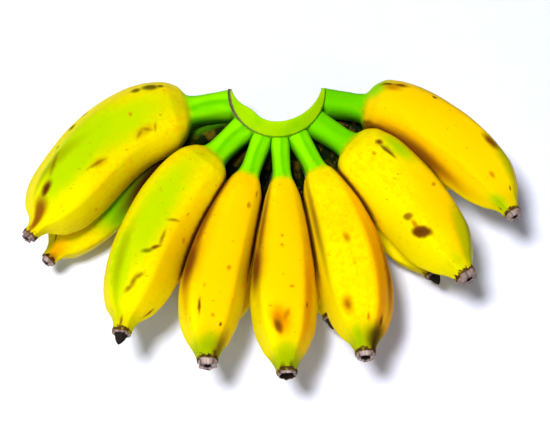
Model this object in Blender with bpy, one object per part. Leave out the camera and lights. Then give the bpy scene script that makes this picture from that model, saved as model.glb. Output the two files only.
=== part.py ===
"""A hand of short bananas, cut from its bunch stem and lying on a table.

The fruits stand in two rows on a curved green crown. The lower row lies on the table, and the upper
row lies on the lower one. Every fruit is its own solid, with its stalk and its dry blossom end.

Metres, +Z up. The tips point towards -Y and the crown is at +Y. A bearing is in degrees, seen from
above: 0 points along -Y, and positive turns towards +X. All plan positions are measured from the axis
of the bunch stem that the hand grew round. The finished hand is shifted so that the origin is on the
table, under the centre of its box.
"""

import math
from collections import namedtuple

import bmesh
import bpy
import numpy as np

# The crown, a curved cushion that went round about half of the bunch stem.
CROWN_RADIUS = 0.0240  # outer wall, where the stalks leave
CROWN_WALL = 0.0060  # thickness of the cushion at its middle
CROWN_END_WALL = 0.0018  # and at its two ends
CUT_EXTRA = 0.0028  # the knife left this much more on one side of the middle
CUT_EXTRA_AT = -52.0  # the bearing of that place
CUT_EXTRA_SPREAD = 22.0
CROWN_FLOOR = 0.0175  # height of its underside above the table
CROWN_SHOULDER = 0.0472  # height of the line that the bract left, above the upper stalks
CROWN_LIP = 0.0050  # rise of the strip of stem skin above that line, at the middle
CROWN_EDGE = 0.0012  # rounding of its edges
SCAR_RISE = 0.0006  # how far the bract's scar stands out
CUT_BULGE = 0.0008  # how far the cut face stands out at half height
LIP_PROFILE = ((0.34, 0.45), (0.62, 0.80))  # shares of the wall's thickness and of the lip's rise
CROWN_BEARINGS = (-93.5, 93.5)
CROWN_SECTIONS = 30

# The fruits.
STALK_LENGTH = 0.0200
UPPER_TOP = 0.0464  # height of a stalk's upper side where it leaves the crown
LOWER_TOP = 0.0341
UPPER_TIP = 0.0500
LOWER_TIP = 0.0240
UPPER_PITCH = 4.0  # climb of the stalk, in degrees
LOWER_PITCH = -14.0
TIP_LIFT = 12.0  # how steeply the blossom end turns up, in degrees
RIDGES = 5
RIDGE_SHARE = 0.30  # 0 is a round section, 1 a flat-sided pentagon
STALK_RIDGES = 0.30  # how much of that the stalk has
PENTAGON_MEAN = 0.90  # mean radius of a pentagon whose corners are at 1
ROUND_FROM = 0.0300  # distance from the crown where a fruit is as wide as it is tall
GAP = 0.00045  # clearance between one solid and the next
SINK = 0.0014  # how far a lower fruit is flattened where it carries the hand

# Where the origin of the finished part lies, from the axis of the bunch stem.
ORIGIN = (-0.0022, -0.0697)

# Mesh fineness.
AROUND = 15
RINGS = 28
CAP_STEPS = (0.66, 0.33)
DRY_RINGS = 2
RING_CROWDING = 2.2  # how strongly the rings crowd where the girth changes
SPINE_POINTS = 120
PRESS_STEPS = 16

# One line for each fruit: its bearing on the crown, the plan position of its blossom end, the bearing
# that this end points to, how wide its curve swings, its largest radius, the half-width and half-height
# of its stalk, which is squeezed sideways by its neighbours, how full its shoulders are (0 slim, 1 full),
# how wide its bottle neck is, the turn of its ridges in degrees, and its blossom end.
Fruit = namedtuple("Fruit", "name row bearing tip heading swing girth stalk depth full neck roll end")
FRUIT_ROWS = (
    ("finger_top_1", "upper", -83, (-0.1212, -0.0786), -35, 0.51, 0.0208, 0.0066, 0.0105, 1.1, 0.8, 46, "cup"),
    ("finger_top_2", "upper", -45, (-0.0741, -0.1274), -10, 0.4, 0.019, 0.0062, 0.0076, 0.9, 1.0, 30, "spur"),
    ("finger_top_3", "upper", -18, (-0.0326, -0.1424), 3, 0.4, 0.0162, 0.005, 0.0076, 0.3, 1.05, 40, "cup"),
    ("finger_top_4", "upper", 4, (0.005, -0.1472), 4, 0.4, 0.0163, 0.0046, 0.0076, 0.0, 1.06, 34, "cup"),
    ("finger_top_5", "upper", 27, (0.0422, -0.1383), 3, 0.4, 0.0176, 0.0052, 0.0076, 0.3, 1.04, 30, "cup"),
    ("finger_top_6", "upper", 55, (0.0926, -0.0994), 31, 0.4, 0.019, 0.0062, 0.0076, 1.2, 1.1, 44, "cup"),
    ("finger_top_7", "upper", 86, (0.1162, -0.0674), 22, 0.38, 0.0174, 0.0062, 0.0105, 1.6, 0.9, 40, "cup"),
    ("finger_low_1", "lower", -73, (-0.1152, -0.0815), -36, 0.4, 0.0165, 0.0070, 0.0076, 1.0, 0.8, 0, "cup"),
    ("finger_low_2", "lower", -41, (-0.068, -0.1035), -18, 0.4, 0.0164, 0.0058, 0.0076, 1.0, 1.0, 4, "cup"),
    ("finger_low_3", "lower", -13, (-0.0295, -0.119), -8, 0.4, 0.0162, 0.0052, 0.0076, 0.9, 1.0, -4, "cup"),
    ("finger_low_4", "lower", 14, (0.0275, -0.111), 6, 0.4, 0.0162, 0.0052, 0.0076, 0.9, 0.95, 3, "spur"),
    ("finger_low_5", "lower", 46, (0.079, -0.088), 22, 0.4, 0.0158, 0.0054, 0.0076, 1.0, 0.95, -3, "spur"),
    ("finger_low_6", "lower", 75, (0.0995, -0.039), 36, 0.4, 0.016, 0.006, 0.0076, 1.0, 1.0, 2, "cup"),
)
FRUITS = [Fruit(*row) for row in FRUIT_ROWS]

# Radius of a fruit along its body, as a share of its girth, from the neck (0) to the blossom end (1).
# The bottle neck before the blossom end is about as wide on a big fruit as on a small one.
BODY_STATIONS = (0.00, 0.04, 0.10, 0.22, 0.42, 0.60, 0.75, 0.86, 0.925, 0.96, 1.00)
FULL_SHAPE = (0.62, 0.84, 0.96, 1.00, 0.98, 0.87, 0.62)
SLIM_SHAPE = (0.42, 0.56, 0.74, 0.94, 1.00, 0.90, 0.66)
BOTTLE_NECK = (0.0064, 0.0050, 0.0045)
STALK_STATIONS = (0.0, 0.35, 0.75)
STALK_SHAPE = (1.10, 1.00, 0.98)
NECK_SHAPE = 1.12

# Ends: distance past the last ring and radius, both as shares of that ring's radius.
CUP_END = ((0.10, 0.80), (-0.22, 0.62))
SPUR_END = ((0.30, 0.58), (0.85, 0.34))
CUP_BOTTOM = -0.26
SPUR_POINT = 1.20

# Colours from the fruit, as linear RGB, with roughness.
GREEN = ((0.16, 0.46, 0.01, 1.0), 0.45)
LIME = ((0.27, 0.60, 0.01, 1.0), 0.45)
YELLOW = ((0.95, 0.68, 0.01, 1.0), 0.42)
DRY = ((0.07, 0.045, 0.035, 1.0), 0.85)


def clear_scene():
    for obj in list(bpy.data.objects):
        bpy.data.objects.remove(obj)


def material(name, look):
    colour, roughness = look
    made = bpy.data.materials.new(name)
    made.use_nodes = True
    made.diffuse_color = colour
    shader = made.node_tree.nodes["Principled BSDF"]
    shader.inputs["Base Color"].default_value = colour
    shader.inputs["Roughness"].default_value = roughness
    shader.inputs["Metallic"].default_value = 0.0
    return made


def toward(bearing):
    """Unit vector in plan for a bearing in degrees."""
    angle = math.radians(bearing)
    return np.array([math.sin(angle), -math.cos(angle), 0.0])


def unit(vectors):
    return vectors / np.linalg.norm(vectors, axis=-1, keepdims=True)


def smooth_through(stations, values, at):
    """A curve through the stations that never overshoots them (monotone cubic)."""
    x = np.asarray(stations, float)
    y = np.asarray(values, float)
    step = np.diff(x)
    slope = np.diff(y) / step
    tangent = np.zeros_like(y)
    rising = slope[:-1] * slope[1:] > 0
    tangent[1:-1][rising] = 2 * slope[:-1][rising] * slope[1:][rising] / (slope[:-1] + slope[1:])[rising]
    tangent[0] = slope[0]
    tangent[-1] = slope[-1]
    k = np.clip(np.searchsorted(x, at, side="right") - 1, 0, len(x) - 2)
    u = np.clip((at - x[k]) / step[k], 0, 1)
    h = step[k]
    return (
        y[k] * (1 + 2 * u) * (1 - u) ** 2
        + tangent[k] * h * u * (1 - u) ** 2
        + y[k + 1] * u**2 * (3 - 2 * u)
        + tangent[k + 1] * h * u**2 * (u - 1)
    )


def centreline(fruit, points):
    """Points evenly spaced along the fruit's centreline, from the crown to the blossom end."""
    upper = fruit.row == "upper"
    root = toward(fruit.bearing) * (CROWN_RADIUS + GAP)
    root[2] = (UPPER_TOP if upper else LOWER_TOP) - fruit.depth
    tip = np.array([fruit.tip[0], fruit.tip[1], UPPER_TIP if upper else LOWER_TIP])
    reach = np.linalg.norm(tip - root) * fruit.swing
    pitch = math.radians(UPPER_PITCH if upper else LOWER_PITCH)
    lift = math.radians(TIP_LIFT)
    leave = toward(fruit.bearing) * math.cos(pitch) + np.array([0, 0, math.sin(pitch)])
    arrive = toward(fruit.heading) * math.cos(lift) + np.array([0, 0, math.sin(lift)])
    corners = (root, root + leave * reach, tip - arrive * reach, tip)
    t = np.linspace(0, 1, 4 * points)[:, None]
    weights = ((1 - t) ** 3, 3 * t * (1 - t) ** 2, 3 * t**2 * (1 - t), t**3)
    curve = sum(w * c for w, c in zip(weights, corners))
    run = np.concatenate([[0], np.cumsum(np.linalg.norm(np.diff(curve, axis=0), axis=1))])
    even = np.linspace(0, run[-1], points)
    return np.stack([np.interp(even, run, curve[:, i]) for i in range(3)], axis=1), even


def radius_along(fruit, run):
    """The fruit's radius at each distance from the crown."""
    body_length = run[-1] - STALK_LENGTH
    shape = [full * fruit.full + slim * (1 - fruit.full) for full, slim in zip(FULL_SHAPE, SLIM_SHAPE)]
    stations = [STALK_LENGTH * s for s in STALK_STATIONS]
    values = [fruit.stalk * s for s in STALK_SHAPE]
    stations += [STALK_LENGTH + body_length * s for s in BODY_STATIONS]
    values += [fruit.stalk * NECK_SHAPE, *(fruit.girth * s for s in shape)]
    values += [fruit.neck * radius for radius in BOTTLE_NECK]
    return smooth_through(stations, values, run)


class Spine:
    """A fruit's centreline with its radius, which is also how its neighbours see it."""

    def __init__(self, fruit):
        self.fruit = fruit
        self.points, self.run = centreline(fruit, SPINE_POINTS)
        self.radius = radius_along(fruit, self.run)
        if fruit.row == "lower":
            lowest = (self.points[:, 2] - self.radius).min()
            self.points[:, 2] -= lowest + SINK

    def share(self, where, slack):
        """How far out each point lies, as a share of this fruit's radius there."""
        away = np.linalg.norm(where[:, None, :] - self.points[None], axis=2) + slack
        return (away / self.radius[None]).min(axis=1)

    def at(self, run):
        centre = np.stack([np.interp(run, self.run, self.points[:, i]) for i in range(3)], axis=1)
        along = np.gradient(self.points, self.run, axis=0)
        along = unit(np.stack([np.interp(run, self.run, along[:, i]) for i in range(3)], axis=1))
        return centre, along, np.interp(run, self.run, self.radius)


def ring_places(spine):
    """Distances of the rings, closer together where the girth changes fast."""
    change = np.abs(np.gradient(spine.radius, spine.run))
    density = 1 + RING_CROWDING * change
    total = np.concatenate([[0], np.cumsum((density[1:] + density[:-1]) / 2 * np.diff(spine.run))])
    return np.interp(np.linspace(0, total[-1], RINGS), total, spine.run)


def ridge_factor(angle, share):
    """Radius of a rounded pentagon at this angle, as a share of a circle's."""
    side = 2 * math.pi / RIDGES
    flat = math.cos(side / 2) / np.cos(np.mod(angle, side) - side / 2)
    return 1 + share * (flat / PENTAGON_MEAN - 1)


def pressed(spine, others, centre, outward, reach):
    """Pulls points back to where this fruit and its neighbour are pressed flat against each other."""

    def crosses(scale):
        where = centre + outward * (reach * scale)[:, None]
        own = spine.share(where, GAP / 2)
        nearest = np.min([other.share(where, -GAP / 2) for other in others], axis=0)
        return own > nearest

    low = np.zeros(len(reach))
    high = np.ones(len(reach))
    hit = crosses(high)
    for _ in range(PRESS_STEPS):
        middle = (low + high) / 2
        over = crosses(middle)
        high = np.where(over, middle, high)
        low = np.where(over, low, middle)
    return reach * np.where(hit, low, 1.0)


def onto_crown(points, bearing):
    """Slides points along a bearing until they are just outside the crown's round wall."""
    way = toward(bearing)
    flat = points[:, :2]
    along = flat @ way[:2]
    aside = np.sum(flat**2, axis=1) - along**2
    wanted = np.sqrt((CROWN_RADIUS + GAP) ** 2 - aside)
    return points + way * (wanted - along)[:, None]


def fruit_rings(spine, others):
    """The rings of points of one fruit, from the crown to the rim of its blossom end."""
    run = ring_places(spine)
    centre, along, radius = spine.at(run)
    side = unit(np.cross([0, 0, 1.0], along))
    up = np.cross(along, side)
    angle = np.arange(AROUND) * 2 * math.pi / AROUND
    rounded = np.clip(run / ROUND_FROM, 0, 1)
    tall = (spine.fruit.depth * (1 - rounded) + radius * rounded) / radius
    ridged = RIDGE_SHARE * np.clip((run - STALK_LENGTH) / STALK_LENGTH, STALK_RIDGES, 1)
    turned = angle + math.radians(spine.fruit.roll)
    outward = (
        up[:, None, :] * (np.cos(turned)[None] * tall[:, None])[..., None]
        + side[:, None, :] * np.sin(turned)[None, :, None]
    )
    reach = radius[:, None] * ridge_factor(angle[None], ridged[:, None])
    flat_centre = np.repeat(centre, AROUND, axis=0)
    flat_out = outward.reshape(-1, 3)
    flat_reach = pressed(spine, others, flat_centre, flat_out, reach.reshape(-1))
    points = flat_centre + flat_out * flat_reach[:, None]
    points[:, 2] = np.maximum(points[:, 2], 0.0)
    rings = points.reshape(RINGS, AROUND, 3)
    rings[0] = onto_crown(rings[0], spine.fruit.bearing)
    return rings, centre[-1], along[-1]


def end_rings(fruit, rim, centre, along):
    """The blossom end past its rim, as (ring, distance) steps and a last point."""
    radius = np.linalg.norm(rim - centre, axis=1).mean()
    steps, last = (CUP_END, CUP_BOTTOM) if fruit.end == "cup" else (SPUR_END, SPUR_POINT)
    rings = [centre + (rim - centre) * share + along * radius * away for away, share in steps]
    return rings, centre + along * radius * last


def closed_tube(name, rings, first_point, last_point):
    """A mesh of rings, closed at both ends by a fan to a point."""
    mesh = bmesh.new()
    rows = [[mesh.verts.new(p) for p in ring] for ring in rings]
    for near, far in zip(rows, rows[1:]):
        for i in range(len(near)):
            j = (i + 1) % len(near)
            mesh.faces.new((near[i], near[j], far[j], far[i]))
    for row, point in ((rows[0], first_point), (rows[-1], last_point)):
        hub = mesh.verts.new(point)
        for i in range(len(row)):
            mesh.faces.new((row[i], row[(i + 1) % len(row)], hub))
    bmesh.ops.triangulate(mesh, faces=mesh.faces[:])
    bmesh.ops.recalc_face_normals(mesh, faces=mesh.faces[:])
    data = bpy.data.meshes.new(name)
    mesh.to_mesh(data)
    mesh.free()
    return data


def add_object(name, data, materials):
    obj = bpy.data.objects.new(name, data)
    bpy.context.scene.collection.objects.link(obj)
    for made in materials:
        data.materials.append(made)
    data.shade_smooth()
    data.set_sharp_from_angle(angle=math.radians(50))
    obj.location = (-ORIGIN[0], -ORIGIN[1], 0.0)
    return obj


def build_fruit(spine, others, materials):
    fruit = spine.fruit
    rings, tip, along = fruit_rings(spine, others)
    root = rings[0].mean(axis=0)
    cap = [onto_crown(root + (rings[0] - root) * share, fruit.bearing) for share in reversed(CAP_STEPS)]
    first = onto_crown(root[None], fruit.bearing)[0]
    ends, last = end_rings(fruit, rings[-1], tip, along)
    data = closed_tube(fruit.name, [*cap, *rings, *ends], first, last)
    obj = add_object(fruit.name, data, materials)
    neck = len(cap) + np.searchsorted(ring_places(spine), STALK_LENGTH)
    for face in data.polygons:
        row = min(face.vertices) // AROUND
        if row < neck:
            face.material_index = 1
        elif row >= len(cap) + RINGS - DRY_RINGS:
            face.material_index = 2
    return obj


def crown_section(bearing):
    """The crown's outline where a half-plane through the stem's axis cuts it, as (radius, height)."""
    start, end = CROWN_BEARINGS
    middle = (start + end) / 2
    swing = abs(bearing - middle) / ((end - start) / 2)
    bulk = max(0.0, 1 - swing**2.5)
    wall = CROWN_END_WALL + (CROWN_WALL - CROWN_END_WALL) * bulk
    wall += CUT_EXTRA * bulk * math.exp(-(((bearing - CUT_EXTRA_AT) / CUT_EXTRA_SPREAD) ** 2))
    lip = CROWN_LIP * bulk
    outer = CROWN_RADIUS
    inner = outer - wall
    lip_floor = CROWN_SHOULDER + CROWN_EDGE
    cut_top = lip_floor + lip
    lip_slope = [(outer - across * wall, lip_floor + rise * lip) for across, rise in LIP_PROFILE]
    return (
        (outer, CROWN_FLOOR + CROWN_EDGE),
        (outer, CROWN_SHOULDER),
        (outer + SCAR_RISE, CROWN_SHOULDER + CROWN_EDGE / 2),
        (outer, lip_floor),
        *lip_slope,
        (inner + CROWN_EDGE / 2, cut_top),
        (inner, cut_top - CROWN_EDGE / 2),
        (inner - CUT_BULGE * bulk, (CROWN_FLOOR + cut_top) / 2),
        (inner, CROWN_FLOOR + CROWN_EDGE),
        (inner + CROWN_EDGE / 2, CROWN_FLOOR),
        (outer - CROWN_EDGE / 2, CROWN_FLOOR),
    )


def build_crown(materials):
    start, end = CROWN_BEARINGS
    rings = []
    for k in range(CROWN_SECTIONS + 1):
        # The sections crowd towards the two ends, where the outline changes fastest.
        bearing = (start + end) / 2 - (end - start) / 2 * math.cos(math.pi * k / CROWN_SECTIONS)
        way = toward(bearing)
        rings.append(np.array([way * radius + (0, 0, height) for radius, height in crown_section(bearing)]))
    first = rings[0].mean(axis=0)
    last = rings[-1].mean(axis=0)
    data = closed_tube("crown", rings, first, last)
    obj = add_object("crown", data, materials)
    for face in data.polygons:
        if face.center.z > CROWN_SHOULDER + CROWN_EDGE:
            face.material_index = 1
    return obj


def main():
    clear_scene()
    spines = [Spine(fruit) for fruit in FRUITS]
    peel = [material("peel", YELLOW), material("stalk_skin", GREEN), material("dry_blossom_end", DRY)]
    for spine in spines:
        build_fruit(spine, [other for other in spines if other is not spine], peel)
    build_crown([material("crown_skin", GREEN), material("stem_skin", LIME)])


if __name__ == "__main__":
    main()
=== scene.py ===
# %% [markdown]
# A hand of lady finger bananas, cut from its bunch and laid on a table. Thirteen short plump fruits stand
# in two rows on a curved green crown. The solids of the hand are already packed, so this lesson only
# dresses them: each fruit gets a finer skin over the same form, and then its colours, scars and dry end.
# The frame is loaded first, because every finer piece has to lie exactly where its solid lies.

import math
from collections import namedtuple

import bmesh
import bpy
import numpy as np
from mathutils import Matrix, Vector, noise


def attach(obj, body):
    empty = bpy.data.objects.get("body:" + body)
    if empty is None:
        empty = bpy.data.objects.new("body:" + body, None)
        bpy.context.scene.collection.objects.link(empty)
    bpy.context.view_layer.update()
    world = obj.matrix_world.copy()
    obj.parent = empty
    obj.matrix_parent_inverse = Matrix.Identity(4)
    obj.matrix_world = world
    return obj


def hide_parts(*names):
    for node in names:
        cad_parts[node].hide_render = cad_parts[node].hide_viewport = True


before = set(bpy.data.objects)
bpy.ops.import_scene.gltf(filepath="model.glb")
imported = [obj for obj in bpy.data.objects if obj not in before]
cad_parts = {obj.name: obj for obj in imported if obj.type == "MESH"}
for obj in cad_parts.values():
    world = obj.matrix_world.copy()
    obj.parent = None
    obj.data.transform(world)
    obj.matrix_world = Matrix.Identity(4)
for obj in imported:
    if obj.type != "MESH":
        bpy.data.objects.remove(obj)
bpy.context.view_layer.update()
scene = bpy.context.scene
MM = 0.001

# %% [markdown]
# The photograph looks down on the hand from the side of the tips, about 70 degrees above the table. A long
# lens from 850 mm away keeps the two rows close to their true widths. The camera is aimed with a direction
# turned into a rotation, which is easier to read than three angles typed in.

# %% Camera
CAMERA_ELEVATION = math.radians(70)
CAMERA_DISTANCE = 0.850
CAMERA_TARGET = Vector((0.00145, 0.0077, 0.0300))
SENSOR_WIDTH = 36.0
PHOTO_WIDTH = 550
FOCAL_PIXELS = 1700

back = Vector((0, -math.cos(CAMERA_ELEVATION), math.sin(CAMERA_ELEVATION)))
camera = bpy.data.objects.new("camera", bpy.data.cameras.new("camera"))
camera.data.sensor_width = SENSOR_WIDTH
camera.data.lens = FOCAL_PIXELS * SENSOR_WIDTH / PHOTO_WIDTH
camera.location = CAMERA_TARGET + back * CAMERA_DISTANCE
camera.rotation_euler = back.to_track_quat("Z", "Y").to_euler()
camera.data.clip_start = 0.01
scene.collection.objects.link(camera)
scene.camera = camera
scene.view_settings.view_transform = "Standard"
print("lens:", round(camera.data.lens, 1), "mm")

# %% [markdown]
# A few small helpers serve every material. Colours are written as sRGB hex values, as a colour picker gives
# them, and one function turns them into the linear values that Blender's sockets take. Another adds any
# node with its settings and its links and hands back an output, so that a material reads top to bottom. A
# third lays the pair of nodes that most layers need: a range of some value, and two colours mixed by it.

# %% Helpers for colours and nodes
RGBA = {"data_type": "RGBA"}
SMOOTH = {"interpolation_type": "SMOOTHSTEP"}


def linear(hex_colour):
    """An sRGB hex colour as linear RGBA."""
    parts = [int(hex_colour[i : i + 2], 16) / 255 for i in (1, 3, 5)]
    return (*[c / 12.92 if c <= 0.04045 else ((c + 0.055) / 1.055) ** 2.4 for c in parts], 1.0)


def add(tree, kind, inputs=None, out=0, **settings):
    """Adds a node, fills its inputs with values, hex colours or other outputs, and returns one output."""
    node = tree.nodes.new(kind)
    for key, value in settings.items():
        setattr(node, key, value)
    for key, value in (inputs or {}).items():
        if isinstance(value, bpy.types.NodeSocket):
            tree.links.new(value, node.inputs[key])
        else:
            node.inputs[key].default_value = linear(value) if str(value).startswith("#") else value
    return node.outputs[out] if node.outputs else node


def blended(tree, low_colour, high_colour, value, *span, **settings):
    """Mixes two colours by a value. The span gives where the mix starts and ends, then its shares there."""
    share = add(tree, "ShaderNodeMapRange", {"Value": value, **dict(enumerate(span, 1))}, **settings)
    return add(tree, "ShaderNodeMix", {0: share, 6: low_colour, 7: high_colour}, 2, **RGBA)


def millimetres(tree):
    """The place on a piece in millimetres, so that patterns keep their true size."""
    place = add(tree, "ShaderNodeTexCoord", out="Object")
    return add(tree, "ShaderNodeVectorMath", {0: place, 1: (1 / MM,) * 3}, operation="MULTIPLY")


def new_material(name):
    """An empty material, and its node tree."""
    made = bpy.data.materials.new(name)
    made.use_nodes = True
    made.node_tree.nodes.clear()
    return made, made.node_tree


def store(data, key, values):
    """Keeps one number or one vector for each point of a mesh."""
    values = np.asarray(values, np.float32)
    kind, slot = ("FLOAT_VECTOR", "vector") if values.ndim == 2 else ("FLOAT", "value")
    data.attributes.new(key, kind, "POINT").data.foreach_set(slot, values.ravel())


def add_mesh(name, points, faces, materials=()):
    """A smooth mesh object at the origin."""
    data = bpy.data.meshes.new(name)
    data.from_pydata([tuple(p) for p in points], [], faces)
    for made in materials:
        data.materials.append(made)
    data.shade_smooth()
    obj = bpy.data.objects.new(name, data)
    scene.collection.objects.link(obj)
    return obj


print("a banana yellow in linear values:", [round(c, 3) for c in linear("#ffe135")])

# %% [markdown]
# The hand was shot on white paper under one big soft lamp nearly overhead, a little to the left and towards
# the camera, so its shadows are short and soft and fall to the right. The paper is so bright that it burns
# out to white. An area lamp does that, and two weak bluish lamps and a pale sky fill the shadows. Lamp power
# follows from the light wanted on the table: a lamp of P watts at a distance d lights it with P / (pi d2).

# %% Paper, lamp and sky
PAPER_HALF_SIDE = 6.0
LAMP_WAY = Vector((-0.20, -0.12, 1.0)).normalized()
LAMP_DISTANCE = 1.5
LAMP_SIDE = 0.28
LAMP_ON_PAPER = 4.1  # irradiance in watts per square metre
FILL_WAY = Vector((0.55, -0.85, 0.75)).normalized()
FILL_LIGHT = 0.85
FILL_COLOUR = "#dbe5ff"
FILL_SIDE = 1.2
SIDE_FILL_WAY = Vector((-1.0, -0.25, 0.40)).normalized()
SIDE_FILL_LIGHT = 0.75
SKY_STRENGTH = 0.09
SKY_COLOUR = "#bcd2ff"


def aim_lamp(name, way, distance, side, irradiance):
    """A square lamp that faces the hand and gives this much light there."""
    lamp = bpy.data.lights.new(name, "AREA")
    lamp.size = side
    lamp.energy = irradiance * math.pi * distance**2
    obj = bpy.data.objects.new(name, lamp)
    obj.location = CAMERA_TARGET + way * distance
    obj.rotation_euler = way.to_track_quat("Z", "Y").to_euler()
    scene.collection.objects.link(obj)
    return obj


key = aim_lamp("soft_lamp", LAMP_WAY, LAMP_DISTANCE, LAMP_SIDE, LAMP_ON_PAPER)
fills = (("front_fill", FILL_WAY, FILL_LIGHT), ("side_fill", SIDE_FILL_WAY, SIDE_FILL_LIGHT))
for name, way, light in fills:
    fill = aim_lamp(name, way, LAMP_DISTANCE, FILL_SIDE, light)
    fill.data.color = linear(FILL_COLOUR)[:3]
    fill.visible_glossy = False  # it lifts the shadows and leaves no shine on the wax
sky = bpy.data.worlds.new("pale_sky")
sky.use_nodes = True
sky.node_tree.nodes["Background"].inputs["Color"].default_value = linear(SKY_COLOUR)
sky.node_tree.nodes["Background"].inputs["Strength"].default_value = SKY_STRENGTH
scene.world = sky

paper_skin, tree = new_material("white_paper")
grain = add(tree, "ShaderNodeTexNoise", {"Scale": 900.0, "Detail": 2.0})
shade = add(tree, "ShaderNodeMix", {0: grain, 6: "#dfe1f0", 7: "#e6e8f7"}, 2, **RGBA)
paper = add(tree, "ShaderNodeBsdfPrincipled", {
    "Base Color": shade, "Roughness": 0.9, "Specular IOR Level": 0.1,
})
add(tree, "ShaderNodeOutputMaterial", {"Surface": paper})
half = PAPER_HALF_SIDE
table = add_mesh("paper", [(-half, -half, 0), (half, -half, 0), (half, half, 0), (-half, half, 0)],
                 [(0, 1, 2, 3)], [paper_skin])
print("lamp:", round(key.data.energy, 1), "W")

# %% [markdown]
# A banana is a bent tube. Its form is a centreline from the crown to the blossom end, and a radius along it:
# a thin stalk, a quick neck, a full body with five soft ridges, and a bottle neck at the end. These are the
# same rules as in the solids, so the fine skins and the solids agree. All plan places are measured from the
# axis of the stem that the hand grew round, and a bearing is an angle on that plan, with 0 towards -Y.

# %% Driving sizes of the hand
CROWN_RADIUS = 0.0240
CROWN_WALL = 0.0060
CROWN_END_WALL = 0.0018
CUT_EXTRA = 0.0028  # the knife left more of the crown on one side of its middle
CUT_EXTRA_AT = -52.0
CUT_EXTRA_SPREAD = 22.0
CROWN_FLOOR = 0.0175
CROWN_SHOULDER = 0.0472
CROWN_LIP = 0.0050
CROWN_BEARINGS = (-93.5, 93.5)
STALK_LENGTH = 0.0200
UPPER_TOP = 0.0464  # height of the stalks' upper side at the crown
LOWER_TOP = 0.0341
UPPER_TIP = 0.0500
LOWER_TIP = 0.0240
UPPER_PITCH = 4.0
LOWER_PITCH = -14.0
TIP_LIFT = 12.0
RIDGES = 5
RIDGE_SHARE = 0.30
STALK_RIDGES = 0.30
PENTAGON_MEAN = 0.90
ROUND_FROM = 0.0300
SINK = 0.0014
ORIGIN = np.array([-0.0022, -0.0697, 0.0])
GAP = 0.0003  # between one skin and the next

Fruit = namedtuple("Fruit", "name row bearing tip heading swing girth stalk depth full neck roll end")
FRUIT_ROWS = (
    ("finger_top_1", "upper", -83, (-0.1212, -0.0786), -35, 0.51, 0.0208, 0.0066, 0.0105, 1.1, 0.8, 46,
     "cup"),
    ("finger_top_2", "upper", -45, (-0.0741, -0.1274), -10, 0.4, 0.019, 0.0062, 0.0076, 0.9, 1.0, 30, "spur"),
    ("finger_top_3", "upper", -18, (-0.0326, -0.1424), 3, 0.4, 0.0162, 0.005, 0.0076, 0.3, 1.05, 40, "cup"),
    ("finger_top_4", "upper", 4, (0.005, -0.1472), 4, 0.4, 0.0163, 0.0046, 0.0076, 0.0, 1.06, 34, "cup"),
    ("finger_top_5", "upper", 27, (0.0422, -0.1383), 3, 0.4, 0.0176, 0.0052, 0.0076, 0.3, 1.04, 30, "cup"),
    ("finger_top_6", "upper", 55, (0.0926, -0.0994), 31, 0.4, 0.019, 0.0062, 0.0076, 1.2, 1.1, 44, "cup"),
    ("finger_top_7", "upper", 86, (0.1162, -0.0674), 22, 0.38, 0.0174, 0.0062, 0.0105, 1.6, 0.9, 40, "cup"),
    ("finger_low_1", "lower", -73, (-0.1152, -0.0815), -36, 0.4, 0.0165, 0.0070, 0.0076, 1.0, 0.8, 0, "cup"),
    ("finger_low_2", "lower", -41, (-0.068, -0.1035), -18, 0.4, 0.0164, 0.0058, 0.0076, 1.0, 1.0, 4, "cup"),
    ("finger_low_3", "lower", -13, (-0.0295, -0.119), -8, 0.4, 0.0162, 0.0052, 0.0076, 0.9, 1.0, -4, "cup"),
    ("finger_low_4", "lower", 14, (0.0275, -0.111), 6, 0.4, 0.0162, 0.0052, 0.0076, 0.9, 0.95, 3, "spur"),
    ("finger_low_5", "lower", 46, (0.079, -0.088), 22, 0.4, 0.0158, 0.0054, 0.0076, 1.0, 0.95, -3, "spur"),
    ("finger_low_6", "lower", 75, (0.0995, -0.039), 36, 0.4, 0.016, 0.006, 0.0076, 1.0, 1.0, 2, "cup"),
)
FRUITS = [Fruit(*row) for row in FRUIT_ROWS]
BODY_STATIONS = (0.00, 0.04, 0.10, 0.22, 0.42, 0.60, 0.75, 0.86, 0.925, 0.96, 1.00)
FULL_SHAPE = (0.62, 0.84, 0.96, 1.00, 0.98, 0.87, 0.62)
SLIM_SHAPE = (0.42, 0.56, 0.74, 0.94, 1.00, 0.90, 0.66)
BOTTLE_NECK = (0.0064, 0.0050, 0.0045)
STALK_STATIONS = (0.0, 0.35, 0.75)
STALK_SHAPE = (1.10, 1.00, 0.98)
NECK_SHAPE = 1.12
print("fruits:", len(FRUITS))

# %% Centreline and girth of one fruit
def toward(bearing):
    """Unit vector in plan for a bearing in degrees."""
    angle = math.radians(bearing)
    return np.array([math.sin(angle), -math.cos(angle), 0.0])


def unit(vectors):
    """The same directions with length 1."""
    return vectors / np.linalg.norm(vectors, axis=-1, keepdims=True)


def sideways_and_up(along):
    """The two directions across a line, one level and one upwards."""
    side = unit(np.cross([0, 0, 1.0], along))
    return side, np.cross(along, side)


def ease(low, high, value):
    """0 at low, 1 at high, and a smooth climb between them. It also runs down, with low above high."""
    t = np.clip((value - low) / (high - low), 0, 1)
    return t * t * (3 - 2 * t)


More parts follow.
